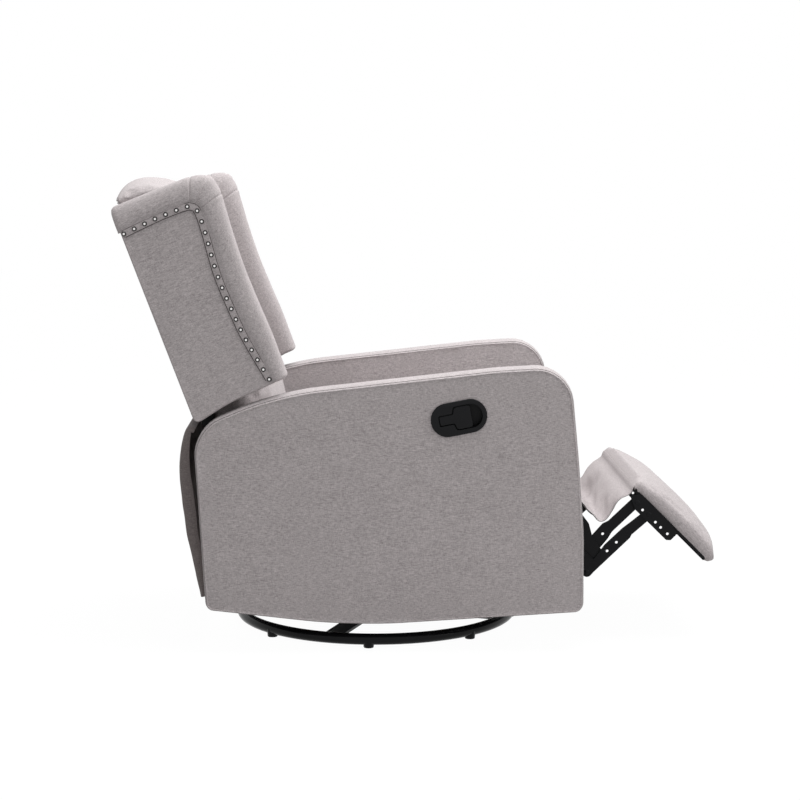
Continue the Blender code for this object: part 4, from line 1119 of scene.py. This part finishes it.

# Footrest linkage
# Flat steel links and brackets, blanked, drilled and painted black, joined by rivets.
# The real links carry wider stiffening plates along the main link and part of each bar; here each link is a
# single plate.
LINK_THICK = 0.003
LINK_PITCH = 0.0034
LINK_INNER = 0.2563
LINK_HOLE = 0.0031
LINKS = (
    (
        "main_link",
        "main_link",
        1,
        (0.3507, 0.3221),
        (0.4912, 0.1840),
        (
            (-0.011, -0.0110, 0.0109),
            (0.208, -0.0110, 0.0109),
            (0.208, 0.0135, 0.0109),
            (0.150, 0.0240, 0.010),
            (0.1225, 0.0400, 0.008),
            (0.094, 0.0440, 0.012),
            (0.030, 0.0110, 0.030),
            (-0.011, 0.0110, 0.0109),
        ),
        (),
    ),
    (
        "guide_link",
        "guide_link",
        3,
        (0.3038, 0.3020),
        (0.4622, 0.1565),
        (
            (-0.011, -0.0110, 0.0109),
            (0.226, -0.0110, 0.0109),
            (0.226, 0.0115, 0.0109),
            (0.207, 0.0310, 0.006),
            (0.165, 0.0310, 0.010),
            (0.120, 0.0110, 0.030),
            (-0.011, 0.0110, 0.0109),
        ),
        (),
    ),
    (
        "upper_bar",
        "upper_bar",
        0,
        (0.4655, 0.2093),
        (0.5718, 0.3121),
        (
            (-0.012, -0.0115, 0.010),
            (0.014, -0.0190, 0.008),
            (0.045, -0.0155, 0.012),
            (0.062, -0.0108, 0.020),
            (0.159, -0.0112, 0.0105),
            (0.159, 0.0118, 0.0105),
            (0.0735, 0.0125, 0.006),
            (0.060, 0.0170, 0.006),
            (0.022, 0.0142, 0.020),
            (-0.012, 0.0110, 0.010),
        ),
        ((0.0445, 0.0),),
    ),
    (
        "lower_bar",
        "lower_bar",
        2,
        (0.4622, 0.1565),
        (0.5980, 0.2852),
        (
            (-0.011, -0.0110, 0.0108),
            (0.121, -0.0102, 0.002),
            (0.128, -0.0074, 0.004),
            (0.198, -0.0105, 0.0103),
            (0.198, 0.0110, 0.0103),
            (0.172, 0.0125, 0.010),
            (0.1435, 0.0150, 0.006),
            (0.124, 0.0172, 0.004),
            (0.070, 0.0172, 0.010),
            (0.036, 0.0110, 0.020),
            (-0.011, 0.0110, 0.0108),
        ),
        ((0.0645, 0.0030), (0.0925, 0.0030)),
    ),
    (
        "bracket",
        "footrest",
        3,
        (PAD_X, PAD_Z),
        (PAD_X + 0.1, PAD_Z - 0.1),
        (
            (0.0065, -0.0200, 0.006),
            (0.0225, -0.0010, 0.004),
            (0.1150, -0.0006, 0.020),
            (0.1425, -0.0060, 0.004),
            (0.1425, -0.0270, 0.003),
            (0.1350, -0.0338, 0.004),
            (0.0380, -0.0345, 0.012),
        ),
        ((0.0500, -0.0235), (0.0898, -0.0225), (0.1064, -0.0225), (0.1274, -0.0221)),
    ),
)
RIVETS = (
    ("upper_rivet", "footrest", (0.5718, 0.3121)),
    ("lower_rivet", "footrest", (0.5980, 0.2852)),
    ("tail_rivet", "guide_link", (0.4622, 0.1565)),
)
RIVET_LAYER = 3
RIVET_RADIUS = 0.0058
RIVET_RISE = 0.0016


def link_plate(start, stop, corners, holes, low, high):
    """A blanked plate along the line between two pivots, with spare holes punched through it."""
    lean = math.atan2(stop[1] - start[1], stop[0] - start[0])
    along_link = plane(*start, lean)
    bm = slab(rounded(corners, 0.02), along_link, low, high)
    for a, b in holes:
        ends = [(a + p * LINK_HOLE, b + q * LINK_HOLE) for p, q in ((-1, -1), (1, -1), (1, 1), (-1, 1))]
        ring = rounded([(*end, 0.99 * LINK_HOLE) for end in ends], 0.01)
        bm = bored(bm, slab(ring, along_link, low - LINK_THICK, high + LINK_THICK))
    return bm


for side_name, side in (("left", 1), ("right", -1)):
    for link, body, layer, start, stop, corners, holes in LINKS:
        inner = LINK_INNER + layer * LINK_PITCH
        low, high = sorted((side * inner, side * (inner + LINK_THICK)))
        bm = link_plate(start, stop, corners, holes, low, high)
        node = f"footrest_{link}_{side_name}"
        piece(f"{link}_plate_{side_name}", bm, body, plate_coat, "black_steel", node)
    for name, body, (x, z) in RIVETS:
        face = side * (LINK_INNER + RIVET_LAYER * LINK_PITCH + LINK_THICK)
        bm = bmesh.new()
        head = Matrix.Translation(level(x, face, z)) @ Matrix.Diagonal((1, RIVET_RISE / RIVET_RADIUS, 1, 1))
        bmesh.ops.create_uvsphere(bm, u_segments=16, v_segments=8, radius=RIVET_RADIUS, matrix=head)
        piece(f"{name}_{side_name}", bm, body, plate_coat, "black_steel")

# Cloth between seat and footrest
# A strip of linen from the seat's front rail to the footrest board, hemmed at both sides.
# It is built sagging into a valley, as it hangs while the footrest is out; the real strip flattens against
# the rail as the footrest folds, which this shape doesn't follow.
BRIDGE_HALF = 0.250
BRIDGE_HEM = 0.012
BRIDGE_THICK = 0.0012
BRIDGE_FOLDS = 0.011
BRIDGE_FLARE = 0.013
BRIDGE_RAIL = (0.3781, 0.338)
HEM_LAYERS = 1.9
BRIDGE_ROUTE = (
    (0.379, 0.338),
    (0.415, 0.333),
    (0.451, 0.307),
    (0.4665, 0.290),
    (0.485, 0.2715),
    (0.4975, 0.2695),
    (0.509, 0.278),
    (0.523, 0.302),
    (0.5375, 0.319),
    (0.552, 0.3275),
    (0.5600, 0.3345),
    (0.5632, 0.3430),
    (0.5668, 0.3484),
)


def hung(keys, half, thick, seed, fold_depth, hem, flare=0.0, turn_in=None):
    """A strip of cloth along a route in the side plane, with slack folds and hemmed sides.
    It can flare towards the route's end, and its sides can turn in by a depth that depends on the way."""
    steps = 72
    bend = 0.008
    line = route(keys, steps + 1)

    def shape(turn, way):
        k = round(way * steps)
        along = (line[min(k + 1, steps)] - line[max(k - 1, 0)]).normalized()
        out = Vector((-along.y, along.x))
        share = 4 * abs(turn - 0.5) - 1
        face = 0 if abs(share) > 1 - 1e-5 else math.copysign(1, 0.5 - turn)
        wide = half + flare * min(1, max(0, (way - 0.70) / 0.20))
        reach = wide + bend * (math.pi / 2 - 1) + turn_in(way) if turn_in else wide
        q = abs(share) * reach
        past = max(0.0, q - wide + bend) if turn_in else 0.0
        round_it = min(math.pi / 2, past / bend)
        across = q - past + bend * math.sin(round_it)
        forward = bend * (1 - math.cos(round_it)) + max(0.0, past - bend * math.pi / 2)
        aside = math.copysign(1, share)
        y = aside * across
        slack = math.sin(math.pi * way) ** 2
        broad = waves((2.6 * way + 3 * y, 6 * y, 0), seed, 1.0)
        fine = waves((9 * way - 8 * y, 13 * y, 0), seed, 1.0)
        fold = slack * fold_depth * (broad + 0.5 * fine)
        hemmed = thick * (HEM_LAYERS if q > reach - hem else 1.0)
        at = line[k] + out * (fold + forward + face * hemmed * math.cos(round_it))
        return level(at.x, y - aside * face * hemmed * math.sin(round_it), at.y)

    return wrapped(224, steps, shape)


bm = hung(BRIDGE_ROUTE, BRIDGE_HALF, BRIDGE_THICK, 9, BRIDGE_FOLDS, BRIDGE_HEM, flare=BRIDGE_FLARE)
bridge = piece("bridge", bm, "seat", arm_linen, "linen", "bridge_cloth")
at_rail = tuple(level(BRIDGE_RAIL[0], 0, BRIDGE_RAIL[1]))
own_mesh(bridge)

# Rear flap
# A loose skirt of cloth from the outside back's lower edge down to the tail rail, in a darker copy of the
# linen as painted shade.
# Its sides turn in towards the arms and it bows out below its top; the real flap's top follows the back as it
# reclines, but this one keeps one shape and rides on no body.
FLAP_HALF = 0.330
FLAP_THICK = 0.0014
FLAP_TURN_IN = 0.0175
FLAP_FOLDS = 0.004
FLAP_STILL = (-0.425, 0.300)
FLAP_TOP = (-0.400, 0.488)
FLAP_SHADED_DARK = (0.105, 0.089, 0.086)
FLAP_SHADED_LIGHT = (0.235, 0.203, 0.198)
FLAP_ROUTE = (
    (-0.3930, 0.4860),
    (-0.4040, 0.4900),
    (-0.4130, 0.4830),
    (-0.4220, 0.4504),
    (-0.4265, 0.4058),
    (-0.4250, 0.3629),
    (-0.4195, 0.3106),
    (-0.4110, 0.2500),
    (-0.3980, 0.1850),
    (-0.3840, 0.1180),
)
# The flap and the tail rail use the linen at well under half its brightness: painted shade.
flap_shaded_linen = linen("flap_shaded_linen", 0.0, FLAP_SHADED_DARK, FLAP_SHADED_LIGHT)
dress(flap_shaded_linen, "tail_rail")


def flap_turn(way):
    """How far the flap's sides turn in: most of all half way down."""
    return FLAP_TURN_IN * math.sin(math.pi * way) ** 0.8


bm = hung(FLAP_ROUTE, FLAP_HALF, FLAP_THICK, 13, FLAP_FOLDS, 0.0, turn_in=flap_turn)
flap = piece("flap", bm, None, flap_shaded_linen, "linen", "rear_flap")
still = tuple(level(FLAP_STILL[0], 0, FLAP_STILL[1]))
top = tuple(level(FLAP_TOP[0], 0, FLAP_TOP[1]))
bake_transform(flap)
